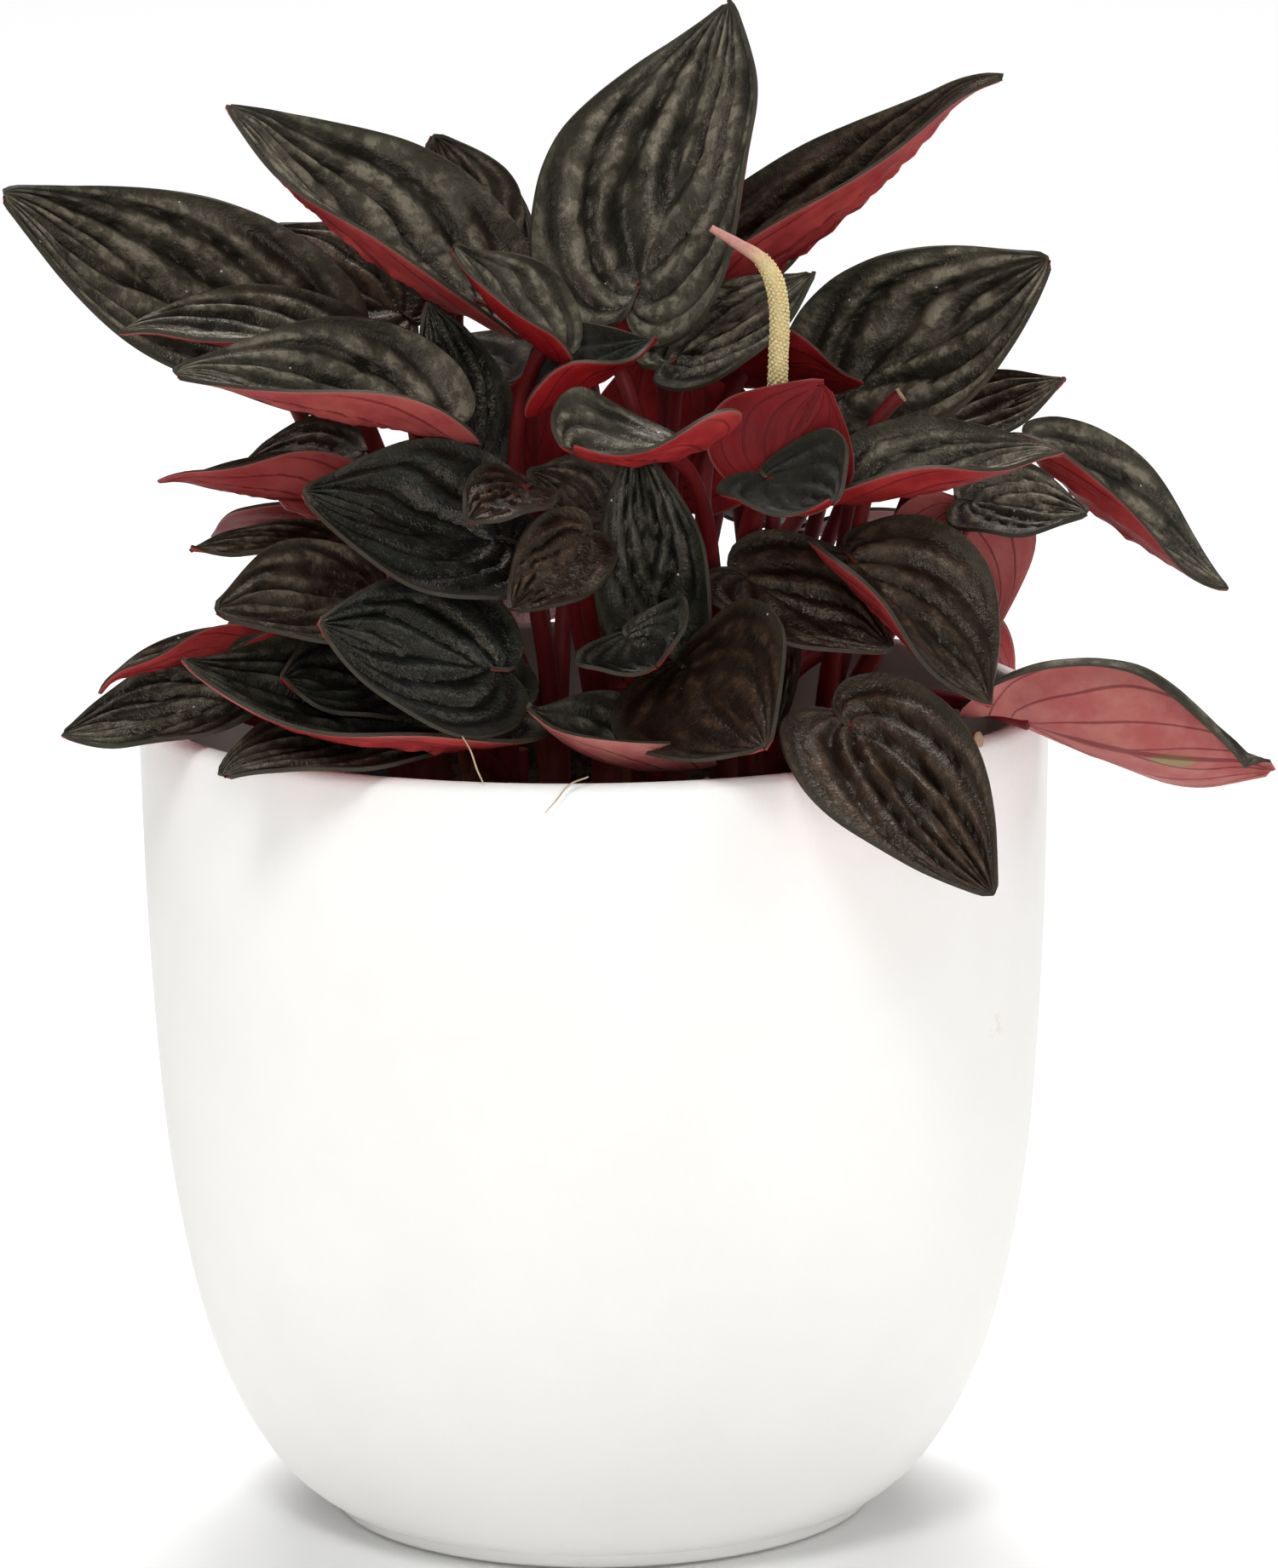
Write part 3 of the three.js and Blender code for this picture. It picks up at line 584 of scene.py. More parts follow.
def relief(blade, q, u, room, seed, side_wave, calm):
    """Height of the ripples, height of the slow edge wave and how pale the ripples look, which is
    partly the leaf's own paler ridges and partly painted highlight on the crests and painted shade in
    the valleys. Room is the blade's width here as a share of its widest, and calm flattens the whole."""
    v = np.abs(u)
    phase = (VEIN_SWEEP * q ** VEIN_POWER - v) / VEIN_SPACING
    along = blade.length * q
    swell, blister, slow = np.empty(len(q)), np.empty(len(q)), np.empty(len(q))
    for i in range(len(q)):
        side = RIGHT_SIDE if u[i] > 0 else LEFT_SIDE
        drift = noise.noise(Vector((v[i] * 2.2 + side, q[i] * 3.2, seed * 4.7)))
        place = phase[i] + VEIN_DRIFT * drift
        swell[i] = abs(math.sin(math.pi * place)) ** 0.85
        cell = Vector((place, along[i] / CELL_LENGTH + side, seed * 9.7))
        near = noise.voronoi(cell + noise.noise_vector(cell * 1.3) * 0.35)[0]
        blister[i] = min(near[1] - near[0], 0.5) / 0.5
        slow[i] = noise.noise(Vector((place * 0.55, q[i] * 2.4, seed * 5.3 + side)))
    size = (1 - calm) * (0.12 + blade.length / 52) * room ** 0.7
    ripple = 2.5 * (swell - 0.5) * (1 + 0.5 * slow) + 0.5 * (np.sqrt(blister) - 0.6) + 0.6 * slow
    midrib = 0.6 * np.exp(-(v / 0.06) ** 2)
    height = size * (np.interp(v, ACROSS, RIPPLE_ACROSS) * ripple - midrib)
    wave = 0.35 * v ** 3 * np.sin(2 * np.pi * (2.5 * q + side_wave + 0.25 * np.sign(u)))
    rim = 0.15 * np.interp(v, [0.86, 1], [0, 1]) ** 2
    # painted light mixed with the ridges' own paler colour: high on the crests as painted highlight,
    # low in the valleys as painted shade
    shade = 0.06 + 0.85 * swell ** 1.6 * (0.2 + 0.8 * np.sqrt(blister)) + 0.3 * slow
    return height, wave + rim, np.clip(shade, 0, 1)


print("veins on half a blade:", int(1 / VEIN_SPACING))

# %% [markdown]
# ## From grid to blade
# Blender's grid is a square. Its middle column becomes the midrib and its outer columns the edge, and
# where base and tip close up the points are merged. The square's own UV map still says where on the
# blade a point is. Three numbers go along for the finishes: how pale the ripple is, which is partly
# the leaf's own paler ridges and partly painted highlight on the crests and painted shade in the
# valleys, the leaf's tone and its underside's tint. A vertex group keeps the thickness, which is more
# under a ripple, so the underside stays smoother than the top.

# %% One blade
ROWS_PER_MM, COLUMNS_PER_MM = 1.25, 0.75
THICKEST = 2  # mm
ROLLED_SHARE = 0.24  # of the half width


def edited(**steps):
    """Take the steps, each with its settings, on every point of the active mesh."""
    bpy.ops.object.mode_set(mode="EDIT")
    bpy.ops.mesh.select_all(action="SELECT")
    for name, settings in steps.items():
        getattr(bpy.ops.mesh, name)(**settings)
    bpy.ops.object.mode_set(mode="OBJECT")


def make_blade(numbers, seed, tone, pink, curl):
    """One blade as a grid bent into shape; a curl of 1 or -1 rolls the edge of that side."""
    blade = Blade(*numbers)
    rows = int(np.clip(blade.length * ROWS_PER_MM, 26, 64))
    columns = 2 * int(np.clip(blade.width * COLUMNS_PER_MM, 9, 27))
    bpy.ops.mesh.primitive_grid_add(x_subdivisions=columns, y_subdivisions=rows, size=2)
    leaf = bpy.context.object
    mesh = leaf.data
    flat = np.empty(len(mesh.vertices) * 3)
    mesh.vertices.foreach_get("co", flat)
    u, q = -flat[0::3], (flat[1::3] + 1) / 2
    s_edge, w_edge = outline_at(q)
    s = q ** 1.25 * (1 - np.abs(u)) + s_edge * np.abs(u)
    calm = 0.6 if tone == 1 else 0.7 * max(pink, 0) ** 2
    height, wave, shade = relief(blade, q, u, w_edge, seed, 0.37 * (seed % 10), calm)
    thickness = leaf.vertex_groups.new(name="thickness")
    for i, share in enumerate(np.clip(0.62 + 0.6 * height, 0.35, THICKEST) / THICKEST):
        thickness.add([i], float(share), "REPLACE")
    hinge = np.where(u * curl > 0, np.maximum(w_edge - ROLLED_SHARE, 0), NO_HINGE)
    place = blade.point(s, u * w_edge, height + wave + 0.3, hinge)
    mesh.vertices.foreach_set("co", (place * MM).ravel())
    kept = {"relief": shade, "tone": np.full(len(q), tone), "pink": np.full(len(q), pink)}
    for key, values in kept.items():
        mesh.attributes.new(key, "FLOAT", "POINT").data.foreach_set("value", values)
    edited(remove_doubles={"threshold": 0.00002})
    return leaf, blade


print("a blade 40 mm long has", int(40 * ROWS_PER_MM), "rows")

# %% [markdown]
# ## The upper face
# The upper face is satin, and paler on the ripples than in the valleys, partly by its own colour and
# partly by painted highlight on the crests and painted shade in the valleys. The leaves of one plant
# differ with age and light, so the tone takes both colours from black-green over olive grey to dark
# bronze, and below 0 it dulls the gloss. Blotches, a paler margin and tip, a red spot at the stalk and
# some white specks keep it from looking painted.

# %% Upper face
# valleys and ripples of each tone; besides the leaf's own colour, the ripple colours carry painted
# highlight and the valley colours painted shade
BLACK_GREEN = (0.0038, 0.005, 0.004), (0.02, 0.024, 0.021)
OLIVE_GREY = (0.011, 0.0105, 0.0075), (0.19, 0.17, 0.123)
DARK_BRONZE = (0.008, 0.004, 0.0025), (0.055, 0.03, 0.018)


def blade_place(f):
    """Where a point is from midrib to edge and from base to tip, both 0 to 1."""
    uv = f.node("SeparateXYZ", Vector=f.node("UVMap").outputs[0])
    side = f.maths("ABSOLUTE", f.maths("MULTIPLY_ADD", uv.outputs[0], 2.0, -1.0))
    return side, uv.outputs[1]


upper = f = Finish("leaf_upper_face", 0.4, 0.34)
side, along = blade_place(f)
tone = f.attribute("tone")
olive, bronze = f.band(tone, 0.0, 0.5), f.band(tone, 0.5, 1.0)
valleys, ripples = BLACK_GREEN
for share, (low, high) in ((olive, OLIVE_GREY), (bronze, DARK_BRONZE)):
    valleys, ripples = f.blended(share, valleys, low), f.blended(share, ripples, high)

patches, speckle = f.grain(140, 4), f.grain(2400, 2)
blotches = f.grain(520, 4, 0.62)
blotched = f.maths("MULTIPLY_ADD", f.band(blotches, 0.43, 0.6), 0.7, 0.3)
# painted highlight on the crests and painted shade in the valleys, from the relief attribute and
# broken by blotches, plus random paler patches
crest_light_and_patches = f.maths("MULTIPLY", f.band(f.attribute("relief"), 0.2, 0.8), blotched)
crest_light_and_patches = f.maths("MULTIPLY_ADD", f.band(patches, 0.4, 0.7), 0.22, crest_light_and_patches)
colour = f.blended(crest_light_and_patches, valleys, ripples)
margin = f.band(f.maths("MULTIPLY_ADD", patches, 0.05, side), 0.85, 0.99)
colour = f.blended(margin, colour, (0.033, 0.032, 0.02), 0.4)
colour = f.blended(f.band(along, 0.95, 1.0), colour, (0.075, 0.065, 0.048), 0.4)
joint = f.maths("MULTIPLY", f.band(along, 0.03, 0.01), f.band(side, 0.5, 0.2))
colour = f.blended(joint, colour, (0.3, 0.1, 0.05), 0.8)
specks = f.node("TexVoronoi", Vector=f.place, Scale=230.0).outputs["Distance"]
here_and_there = f.band(f.grain(45), 0.52, 0.56)
specks = f.maths("MULTIPLY", f.band(specks, 0.055, 0.03), here_and_there)
f.join("Base Color", f.blended(specks, colour, (0.5, 0.5, 0.45)))

fine = f.maths("MULTIPLY_ADD", blotches, 0.7, f.maths("MULTIPLY", speckle, 0.3))
rough = f.node("MapRange", i0=fine, i1=0.36, i2=0.64, i3=0.36, i4=0.17).outputs[0]
for share, more in ((margin, 0.15), (olive, 0.09), (f.band(tone, 0.0, -1.0), 0.4)):
    rough = f.maths("MULTIPLY_ADD", share, more, rough)
f.join("Roughness", rough)
f.shader.inputs["Specular Tint"].default_value = (1, 0.86, 0.7, 1)
bumps = f.maths("MULTIPLY_ADD", blotches, 0.7, f.maths("MULTIPLY", speckle, 0.2))
f.raised(bumps, 0.0007, 0.7)
print("upper face:", len(f.tree.nodes), "nodes")

# %% [markdown]
# ## The underside
# The underside is red with darker veins. They are drawn from the blade's UV map with the formula of
# the relief, so they lie below its valleys. The tint goes from red to pink, for leaves with light
# behind them, and below 0 to a dark red, painted shade for the leaves deep inside. One leaf has a
# healed scar.

# %% Underside
# misty light and dark of a red and of a pink underside
RED, PINK = ((0.34, 0.012, 0.014), (0.24, 0.006, 0.008)), ((0.4, 0.14, 0.12), (0.34, 0.08, 0.075))
# the dark red below a tint of 0 is painted shade for leaves deep in the clump
PAINTED_SHADE_RED, VEIN_RED, SCAR_TAN = (0.035, 0.002, 0.003), (0.09, 0.005, 0.007), (0.26, 0.2, 0.1)
SCAR_PLACE, SCAR_STRETCH = (0.0431, -0.037, 0.1962), (0.5, 1, 1.6)

under = f = Finish("leaf_underside", 0.5, 0.15)
side, along = blade_place(f)
pink = f.attribute("pink")
wander = f.maths("MULTIPLY", f.maths("SUBTRACT", f.grain(60, 1), 0.5), 0.12)
swept = f.maths("POWER", along, VEIN_POWER)
sweep = f.maths("MULTIPLY_ADD", swept, VEIN_SWEEP, f.maths("SUBTRACT", wander, side))
# ten whole vein spacings are added, because the ping-pong needs a number above 0
phase = f.maths("MULTIPLY", f.maths("ADD", sweep, 10 * VEIN_SPACING), round(1 / VEIN_SPACING, 3))
vein = f.band(f.maths("PINGPONG", phase, 0.5), 0.055, 0.015)
vein = f.maths("MULTIPLY", vein, f.band(side, 0.98, 0.9))
lines = f.maths("MAXIMUM", vein, f.band(side, 0.05, 0.02))
mist = f.grain(160, 4)
light, dark = [f.blended(pink, red_one, pink_one) for red_one, pink_one in zip(RED, PINK)]
colour = f.blended(f.band(mist, 0.35, 0.68), dark, light)
# painted shade: a tint below 0 turns leaves deep inside dark red
colour = f.blended(f.band(pink, 0.0, -1.0), colour, PAINTED_SHADE_RED)
stretched = f.node("Mapping", Vector=f.place, Scale=SCAR_STRETCH).outputs[0]
scar = f.node("VectorMath", operation="DISTANCE", i0=stretched, i1=SCAR_PLACE).outputs["Value"]
scar = f.band(f.maths("MULTIPLY_ADD", mist, 0.002, scar), 0.0033, 0.0024)
colour = f.blended(scar, colour, SCAR_TAN)
colour = f.blended(lines, colour, VEIN_RED, 0.65)
f.join("Base Color", f.blended(f.band(side, 0.95, 1.0), colour, (0.3, 0.15, 0.12), 0.5))
rough = f.node("MapRange", i0=mist, i1=0.3, i2=0.7, i3=0.45, i4=0.62).outputs[0]
f.join("Roughness", rough)
pores = f.maths("MULTIPLY", f.grain(1800, 3), 0.5)
f.raised(f.maths("ADD", pores, f.maths("MULTIPLY", lines, -0.5)), 0.00018, 0.7)
print("underside:", len(f.tree.nodes), "nodes")

# %% [markdown]
# ## Rims and stalks
# The thin rim between the two faces is a dull brown, because a glossy one looks wet. A stalk is deep
# red with fine streaks along it, so its noise is stretched upwards, and it browns near the soil. The
# four finishes keep one order on every shoot.

# %% Rim and stalks
BROWN_STARTS, BROWN_ENDS = 0.128, 0.108  # heights in m

rim_finish = grainy(("leaf_rim", 0.5, 0.2), ((0.02, 0.016, 0.01), (0.055, 0.045, 0.031)), (300,),
                    (2000, 2), (0.0001, 0.5))

stalk_skin = f = Finish("stalk_skin", 0.55, 0.2)
height = f.node("SeparateXYZ", Vector=f.place).outputs[2]
streaks = f.grain(700, 3, place=f.node("Mapping", Vector=f.place, Scale=(1, 1, 0.22)).outputs[0])
colour = f.blended(streaks, (0.06, 0.003, 0.004), (0.17, 0.009, 0.01))
low_down = f.band(height, BROWN_STARTS, BROWN_ENDS)
f.join("Base Color", f.blended(low_down, colour, (0.16, 0.07, 0.035), 0.6))
f.raised(streaks, 0.0002, 0.5)

LEAF_FINISHES = [upper.material, under.material, rim_finish, stalk_skin.material]
STALK_FINISH = 3  # in this list
print("finishes of a shoot:", [material.name for material in LEAF_FINISHES])

# %% [markdown]
# ## Stalks
# A leaf stalk is a juicy red rod that leaves the stem low down, leans out, and comes up to the blade
# from below. A Bezier curve with a round bevel is the quickest true form: two ends, two handles and
# a radius at each end. It is made a mesh, so that it can join its blade.

# %% Stalk and stem
STEM_FOOT, STEM_TOP, STEM_RADIUS = 94.5, 124, 2.8
STALK_RADII = (1.5, 1.15)


def mesh_from_curve():
    """Turn the active curve into a clean closed mesh."""
    bpy.ops.object.convert(target="MESH")
    edited(remove_doubles={"threshold": 0.00001}, normals_make_consistent={"inside": False})
    return bpy.context.object


def make_rod(first, first_handle, last_handle, last, radii):
    """A round tapering rod along one Bezier span, all in mm."""
    bpy.ops.curve.primitive_bezier_curve_add(radius=MM)
    rod = bpy.context.object
    rod.name = "stalk"
    data = rod.data
    spans = ((first, first, first_handle, radii[0]), (last, last_handle, last, radii[1]))
    for knob, (co, left, right, r) in zip(data.splines[0].bezier_points, spans):
        knob.handle_left_type = knob.handle_right_type = "FREE"
        knob.co, knob.handle_left, knob.handle_right, knob.radius = (
            Vector(co) * MM, Vector(left) * MM, Vector(right) * MM, r)
    data.dimensions, data.resolution_u, data.bevel_depth, data.bevel_resolution = "3D", 16, MM, 3
    data.use_fill_caps = True
    rod.location = (0, 0, 0)
    return mesh_from_curve()


def make_stalk(stem, end, number, arrive=None, turning=None):
    """A stalk from its stem to an end, and the direction in which it ends: arrive, or past a
    turning point, or straight."""
    end = np.array(end, float)
    start = np.array([*stem, STEM_TOP - 3 - 3 * (number % 3)], float)
    start = start + unit((end - start) * (1, 1, 0)) * (STEM_RADIUS - 1.5)
    reach = np.linalg.norm(end - start)
    lean = (end - start) * (1, 1, 0) * 0.5 / reach + (0, 0, 1)
    arrive = unit(end - start) if arrive is None else arrive
    handle = np.array(turning, float) if turning else end - arrive * reach * 0.35
    rod = make_rod(start, start + lean * reach * 0.4, handle, end, STALK_RADII)
    return rod, unit(end - handle)


def make_stem(stem):
    """The short upright stem that the stalks of one shoot grow from."""
    heights = (STEM_FOOT, 104, 114, STEM_TOP)
    return make_rod(*[(*stem, z) for z in heights], (STEM_RADIUS, STEM_RADIUS * 0.8))


print("stems stand", STEM_TOP - SOIL_EDGE, "mm out of the soil")

# %% [markdown]
# ## The shoots
# Each shoot has its stem's place on the soil, a tone and a tint for each leaf, and its leaves. Young
# leaves in the middle are black-green, older ones olive grey or bronze, and undersides are paler
# where light comes through. So a tone below 0 is a dull black-green, 0 black-green, 0.5 olive grey
# and 1 dark bronze, and a tint below 0 is a dark red of painted shade for leaves deep inside or at the
# back, 0 red and 1 pink. A leaf is the point where stalk and blade meet, the blade's tip, its width,
# the way its upper face looks, and in degrees how far its sides fold up, its midrib bows, its tip
# hooks down and it twists, with zeros at the end left out. Some stalks pass a turning point.

# %% The leaves, in mm
USUAL_TONES, USUAL_TINTS = (0.5,) * 9, (0.2,) * 9
# leaves with one edge rolled under: 1 or -1 for the side
CURLS = {("shoot_right", 5): -1}
# a tint below 0 is painted shade, on leaves deep inside and at the back
SHOOTS = {
    "shoot_left_upper": ((-18, 2), (0.62, 0.48, 0.5, 0.8), (0.35, 0.25, 0.1, 0.2), [
        ((-45, 1.5, 180.5), (-88, -6, 206), 36, (-3, -6, 7), (50, -35, 30)),
        ((-18, -6.5, 189.5), (-53.5, -14, 219.5), 38, (-2, -3.5, 8.5), (67, -28, 20)),
        ((-37, -7, 181.5), (-70, -16, 186), 22, (0, -3, 8), (55, 8, 30), (-36, 3, 175)),
        ((-29, 15.5, 184), (-49, 20, 197), 26, (-1, -6, 8), (30, -10)),
    ]),
    "shoot_left": ((-24, -8), (0.5, 0.35, 0.7, 0.5, 0.6), (0.45, 0.2, 0.4, 0.2, 0.2), [
        ((-24, -32, 174), (-60.5, -39.5, 183), 33, (0, -3, 8), (80, -10, 30)),
        ((-35.5, 0.5, 165), (-52, -5, 164.5), 17, (0, -4, 9), (30,)),
        ((-36.5, -18.5, 160.5), (-64, -26, 165), 24, (0, 1.5, 8.5), (75, -15, 30)),
        ((-39, -7.5, 155.5), (-47.5, -10, 160), 11, (0, 4, 9), (30,)),
        ((-40, -14.5, 153.5), (-60, -22, 154), 11, (0, -3, 9), (30,)),
    ]),
    "shoot_left_lower": ((-26, -20), (0.7, 0.3, 0.35, 0.6), USUAL_TINTS, [
        ((-33.5, -40.5, 149), (-54.5, -53.5, 150), 26, (0, -5, 8), (30, -15)),
        ((-54, -28.5, 132.5), (-79, -34, 128), 20, (-1, -5, 8), (35, -10)),
        ((-52, -25, 139.5), (-73, -36, 135), 15, (0, 2, 9), (70, 0, 50)),
        ((-44, -35, 143), (-56, -44, 140), 14, (0, 4, 9), (40,)),
    ]),
    "shoot_front_left": ((-12, -28), (0.0, 0.0, 0.15, 0.25, 0.1), USUAL_TINTS, [
        ((-14, -42.5, 158), (-41.5, -52, 167), 30, (0, -7, 7), (32, -22)),
        ((-15, -53.5, 141), (-39, -66.5, 150), 28, (0, -7, 6), (20, -20)),
        ((-16, -47.5, 132), (-59, -62, 144), 36, (0, -4, 8), (60, -42)),
        ((-28.5, -49.5, 130.5), (-53.5, -64, 127.5), 22, (0, -4, 9), (20, 12, 40)),
        ((-30.5, -47, 138), (-45, -56, 140), 22, (0, -6, 7), (40, -25)),
    ]),
    "shoot_front": ((8, -36), (1.0, 0.15, 0.1, 0.3), (0.1, 0.1, 0.1, 1.0), [
        ((14, -49.5, 140), (25, -73.5, 132.5), 30, (-5, -4, 7), (20, 10)),
        ((10, -41, 144.5), (7, -41, 171.5), 19, (0, -9, 1), (50, 0, 70)),
        ((5.5, -50.5, 145), (9.5, -57, 141.5), 21, (-1, -6, 6), (45, -30)),
        ((11, -51, 126), (-9, -64, 137), 27, (0, -2, 8), (72, -50)),
    ]),
    "shoot_front_right": ((24, -32), (0.85, 0.9, 0.92, 0.9), USUAL_TINTS, [
        ((39.5, -34.5, 152.5), (58.5, -47.5, 133.5), 35, (8, -6, 3), (56, 5)),
        ((23, -34.5, 150.5), (44, -47.5, 142), 23, (1, -6, 8), (40, -15)),
        ((37.5, -60, 133), (57, -84, 113), 26, (1, -8, 5), (25, 10)),
        ((28, -36, 142), (26, -50.5, 130), 9, (8, -4, 3), (30,)),
    ]),
    "shoot_right": ((34, -12), (0.55, 0.6, 0.5, 0.5, 0.6, 0.4), (0.1, 0.0, 0.2, 0.1, 0.75, 1.0), [
        ((39.5, -26.5, 161.5), (70, -30, 168), 27, (0, -2, 8), (70, -18, 40)),
        ((58, -8.5, 157.5), (75, -13, 156.5), 16, (0, -6, 7), (30,)),
        ((70, 8.5, 161), (97, -1, 142.5), 27, (3, -1.5, 8), (70, -15)),
        ((50, 11.5, 165), (73, 8, 174), 19, (0, -5, 8), (30, -20)),
        ((56, -3.5, 155.5), (60.5, 2, 134.5), 24, (-2, 7, 3), (20, 10)),
        ((63.5, -33.5, 129), (101, -38, 121.5), 36, (0, 5, 6), (70, -30, 40, -40), (48, -27, 134)),
    ]),
    "shoot_top": ((12, -4), (0.42, 0.85, 0.5, 0.5, 0.55, 0.3), (0.0, 0.25, 0.1, 0.0, 0.0, -0.3), [
        ((7.5, -8, 191), (22, 7, 232.5), 42, (-4, -8, 3), (64, -15, 0, -20)),
        ((17.5, 10, 186), (63, 2, 221), 34, (-4, -2, 8), (70, -25, 50)),
        ((3.5, 1, 180.5), (-6.5, -4, 188.5), 14, (1, 8, 2), (20,)),
        ((13, -15, 181), (34, -9.5, 193), 17, (-4, -7, 5), (20, -10)),
        ((39.5, 9, 171.5), (70, 0, 193.5), 34, (-2.5, -9, 5), (50, -15)),
        ((13, 2, 159), (12, 7.5, 182), 30, (0, 7, 2), (25,)),
    ]),
    "shoot_inner_left": ((-6, -10), (0.4, 0.1, 0.5, 0.1), (-0.2, -0.4, 0.0, -0.4), [
        ((-5.5, -27, 184.5), (-19.5, -33.5, 200.5), 23, (0, -3.5, 8), (70, -25)),
        ((-17.5, -17, 167.5), (-24, -20, 190.5), 18, (6, -7, 3), (20, 10)),
        ((-1, 10, 184), (-12, 12, 196), 18, (-3, -5, 8), (30, -10)),
        ((-9, -1.5, 155), (-8, 4, 177), 26, (0, 7, 2), (25,)),
    ]),
    "shoot_inner_front": ((2, -20), (-0.8, 0.95, 0.85, 0.95), (0.0, -0.3, -0.3, -0.3), [
        ((-5.5, -26, 176), (10, -27.5, 185.5), 27, (-2, -1.5, 8), (72, -10), (2, -15.5, 167.5)),
        ((-9.5, -47, 166.5), (-17.5, -58.5, 163.5), 13, (0, -6, 7), (25, 10, 20), (-4, -37, 160.5)),
        ((3.5, -27.5, 157.5), (-9, -35.5, 167), 18, (0, -7, 6), (20, -10)),
        ((-1, -47, 159), (-11.5, -55, 150), 14, (1, -8, 4), (20,), (-1, -40, 150.5)),
    ]),
    "shoot_inner_right": ((20, -16), (-1.0, 0.35, 0.5, 0.5), (-0.2, 0.1, -0.5, -0.5), [
        ((26.5, -35, 165.5), (35.5, -47.5, 164), 25, (-1, -4, 8), (55, -50), (22, -21.5, 161.5)),
        ((12.5, -44, 171.5), (-2, -62, 174.5), 36, (-1, -1.5, 8), (64, -38), (20, -31, 165)),
        ((22.5, -2.5, 177), (41, -8, 176), 24, (0, 5, 7), (40,)),
        ((26.5, -30, 165), (35, -29.5, 179), 24, (1, 7, 3), (25,), (24, -27, 160)),
    ]),
    "shoot_back_left": ((-16, 18), USUAL_TONES, (0.0, 0.2, -0.4, -0.6, -0.6, -0.5, -0.5), [
        ((-16.5, 13.5, 196), (-23.5, 8, 212.5), 18, (-2, -5, 8), (30, -20)),
        ((-36.5, 26, 173.5), (-66, 50, 186.5), 30, (-3, 3, 8), (45, -20, 20)),
        ((-38, 20.5, 139.5), (-58, 34, 129.5), 22, (-3, 4, 7), (25, 15, 20)),
        ((-36, 44, 132.5), (-58, 66, 118), 28, (-4, 5, 6), (20, 20, 0, 10)),
        ((-26, 42.5, 153.5), (-46, 74, 148), 30, (-2, 4, 8), (40, 10, 20)),
        ((-15.5, 42.5, 169.5), (-34, 74, 173), 32, (-2, 4, 8), (40, -10, 20)),
        ((-38, 23.5, 150.5), (-60, 40, 146), 28, (-2, 2, 8), (40, -10, 20)),
    ]),
    "shoot_back": ((4, 24), USUAL_TONES, (-0.2, -0.4, -0.6, -0.8, -0.8), [
        ((-12, 27, 187.5), (-13, 19.5, 206), 26, (-5, -6, 4), (40,)),
        ((-7.5, 40, 183), (-22, 73, 194), 32, (-2, 5, 8), (40, -20, 20)),
        ((6, 47.5, 161.5), (8, 86, 156), 33, (1, 4, 9), (35, 10, 20)),
        ((-6.5, 53, 138.5), (-12, 88, 122), 30, (0, 7, 6), (20, 15)),
        ((19.5, 55, 131), (36, 84.5, 116.5), 28, (3, 6, 6), (25, 15)),
    ]),
    "shoot_back_right": ((26, 16), USUAL_TONES, (0.0, 0.0, -0.4, 0.0, 0.0), [
        ((19.5, 36, 183.5), (34, 62, 198), 32, (2, 4, 8), (45, -15, 30)),
        ((40, 28, 158), (66, 52, 158), 30, (3, 3, 8), (45, 0, 20)),
        ((32, 46.5, 145), (52, 76, 136), 31, (3, 5, 7), (30, 10)),
        ((48, 26, 136.5), (66, 48, 118), 22, (4, 4, 7), (30, 20, 20)),
        ((37, 24, 168.5), (62, 46, 172), 30, (0, 3, 8), (45, -15, 20)),
    ]),
}
print(len(SHOOTS), "shoots with", sum(len(shoot[-1]) for shoot in SHOOTS.values()), "leaves")

# %% [markdown]
# ## Growing the shoots
# The blades of a shoot are joined and get their thickness from one Solidify modifier, which follows
# the vertex group and gives underside and rim their own finishes. Then stalks and stem are joined to
# them. Every shoot has its own seeds, so no two blades share their ripples.

# %% Grow every shoot
LEAF_SHARPNESS = 60  # degrees
made_shoots = {}
for number, (name, (stem, tones, tints, leaves)) in enumerate(SHOOTS.items()):
    blades, rods = [], [make_stem(stem)]
    for i, numbers in enumerate(leaves):
        curl = CURLS.get((name, i), 0)
        leaf, blade = make_blade(numbers[:5], 10 * number + i, tones[i], tints[i], curl)
        blades.append(leaf)
        foot = blade.point(np.array([0.05]), np.array([0.0]), np.array([-0.2]))[0]
        turning = numbers[5] if len(numbers) > 5 else None
        rods.append(make_stalk(stem, foot, i, unit(0.4 * blade.along + 0.9 * blade.up), turning)[0])
    shoot = joined(blades, name + "_leaves")
    dress(shoot, *LEAF_FINISHES)
    thick = shoot.modifiers.new("thickness", "SOLIDIFY")
    thick.thickness, thick.offset, thick.vertex_group = THICKEST * MM, -1, "thickness"
    thick.material_offset, thick.material_offset_rim = 1, 2
    bpy.ops.object.modifier_apply(modifier="thickness")
    for rod in rods:
        dress(rod, *LEAF_FINISHES)
        rod.data.polygons.foreach_set("material_index", [STALK_FINISH] * len(rod.data.polygons))
    shoot = joined([shoot] + rods, name + "_leaves")
    smooth_shading(LEAF_SHARPNESS)
    made_shoots[name] = shoot
    shoot.data.calc_loop_triangles()
    print(name, len(leaves), "leaves", len(shoot.data.loop_triangles), "triangles")

# %% [markdown]
# ## Cut stalks
# Where a leaf was taken off, its stalk stays behind with a dry beige cut end: a stalk with a small
# flattened cap, which gets its own corky finish.

# %% Cut stalks
CAP_RADIUS, CAP_DEPTH, CAP_BEVEL = 1.2 * MM, 0.5 * MM, 0.15 * MM
# the cut end and, for one, a turning point
CUT_STALKS = {
    "shoot_inner_front": ((-1, -30, 152),), "shoot_right": ((47, -14, 175), (38, -14, 169)),
    "shoot_front_right": ((57, -48, 128.5),),
}

cork = grainy(("cut_end", 0.9), ((0.2, 0.11, 0.06), (0.5, 0.36, 0.24)), (900, 4),
              (1500, 3), (0.0002, 0.8))

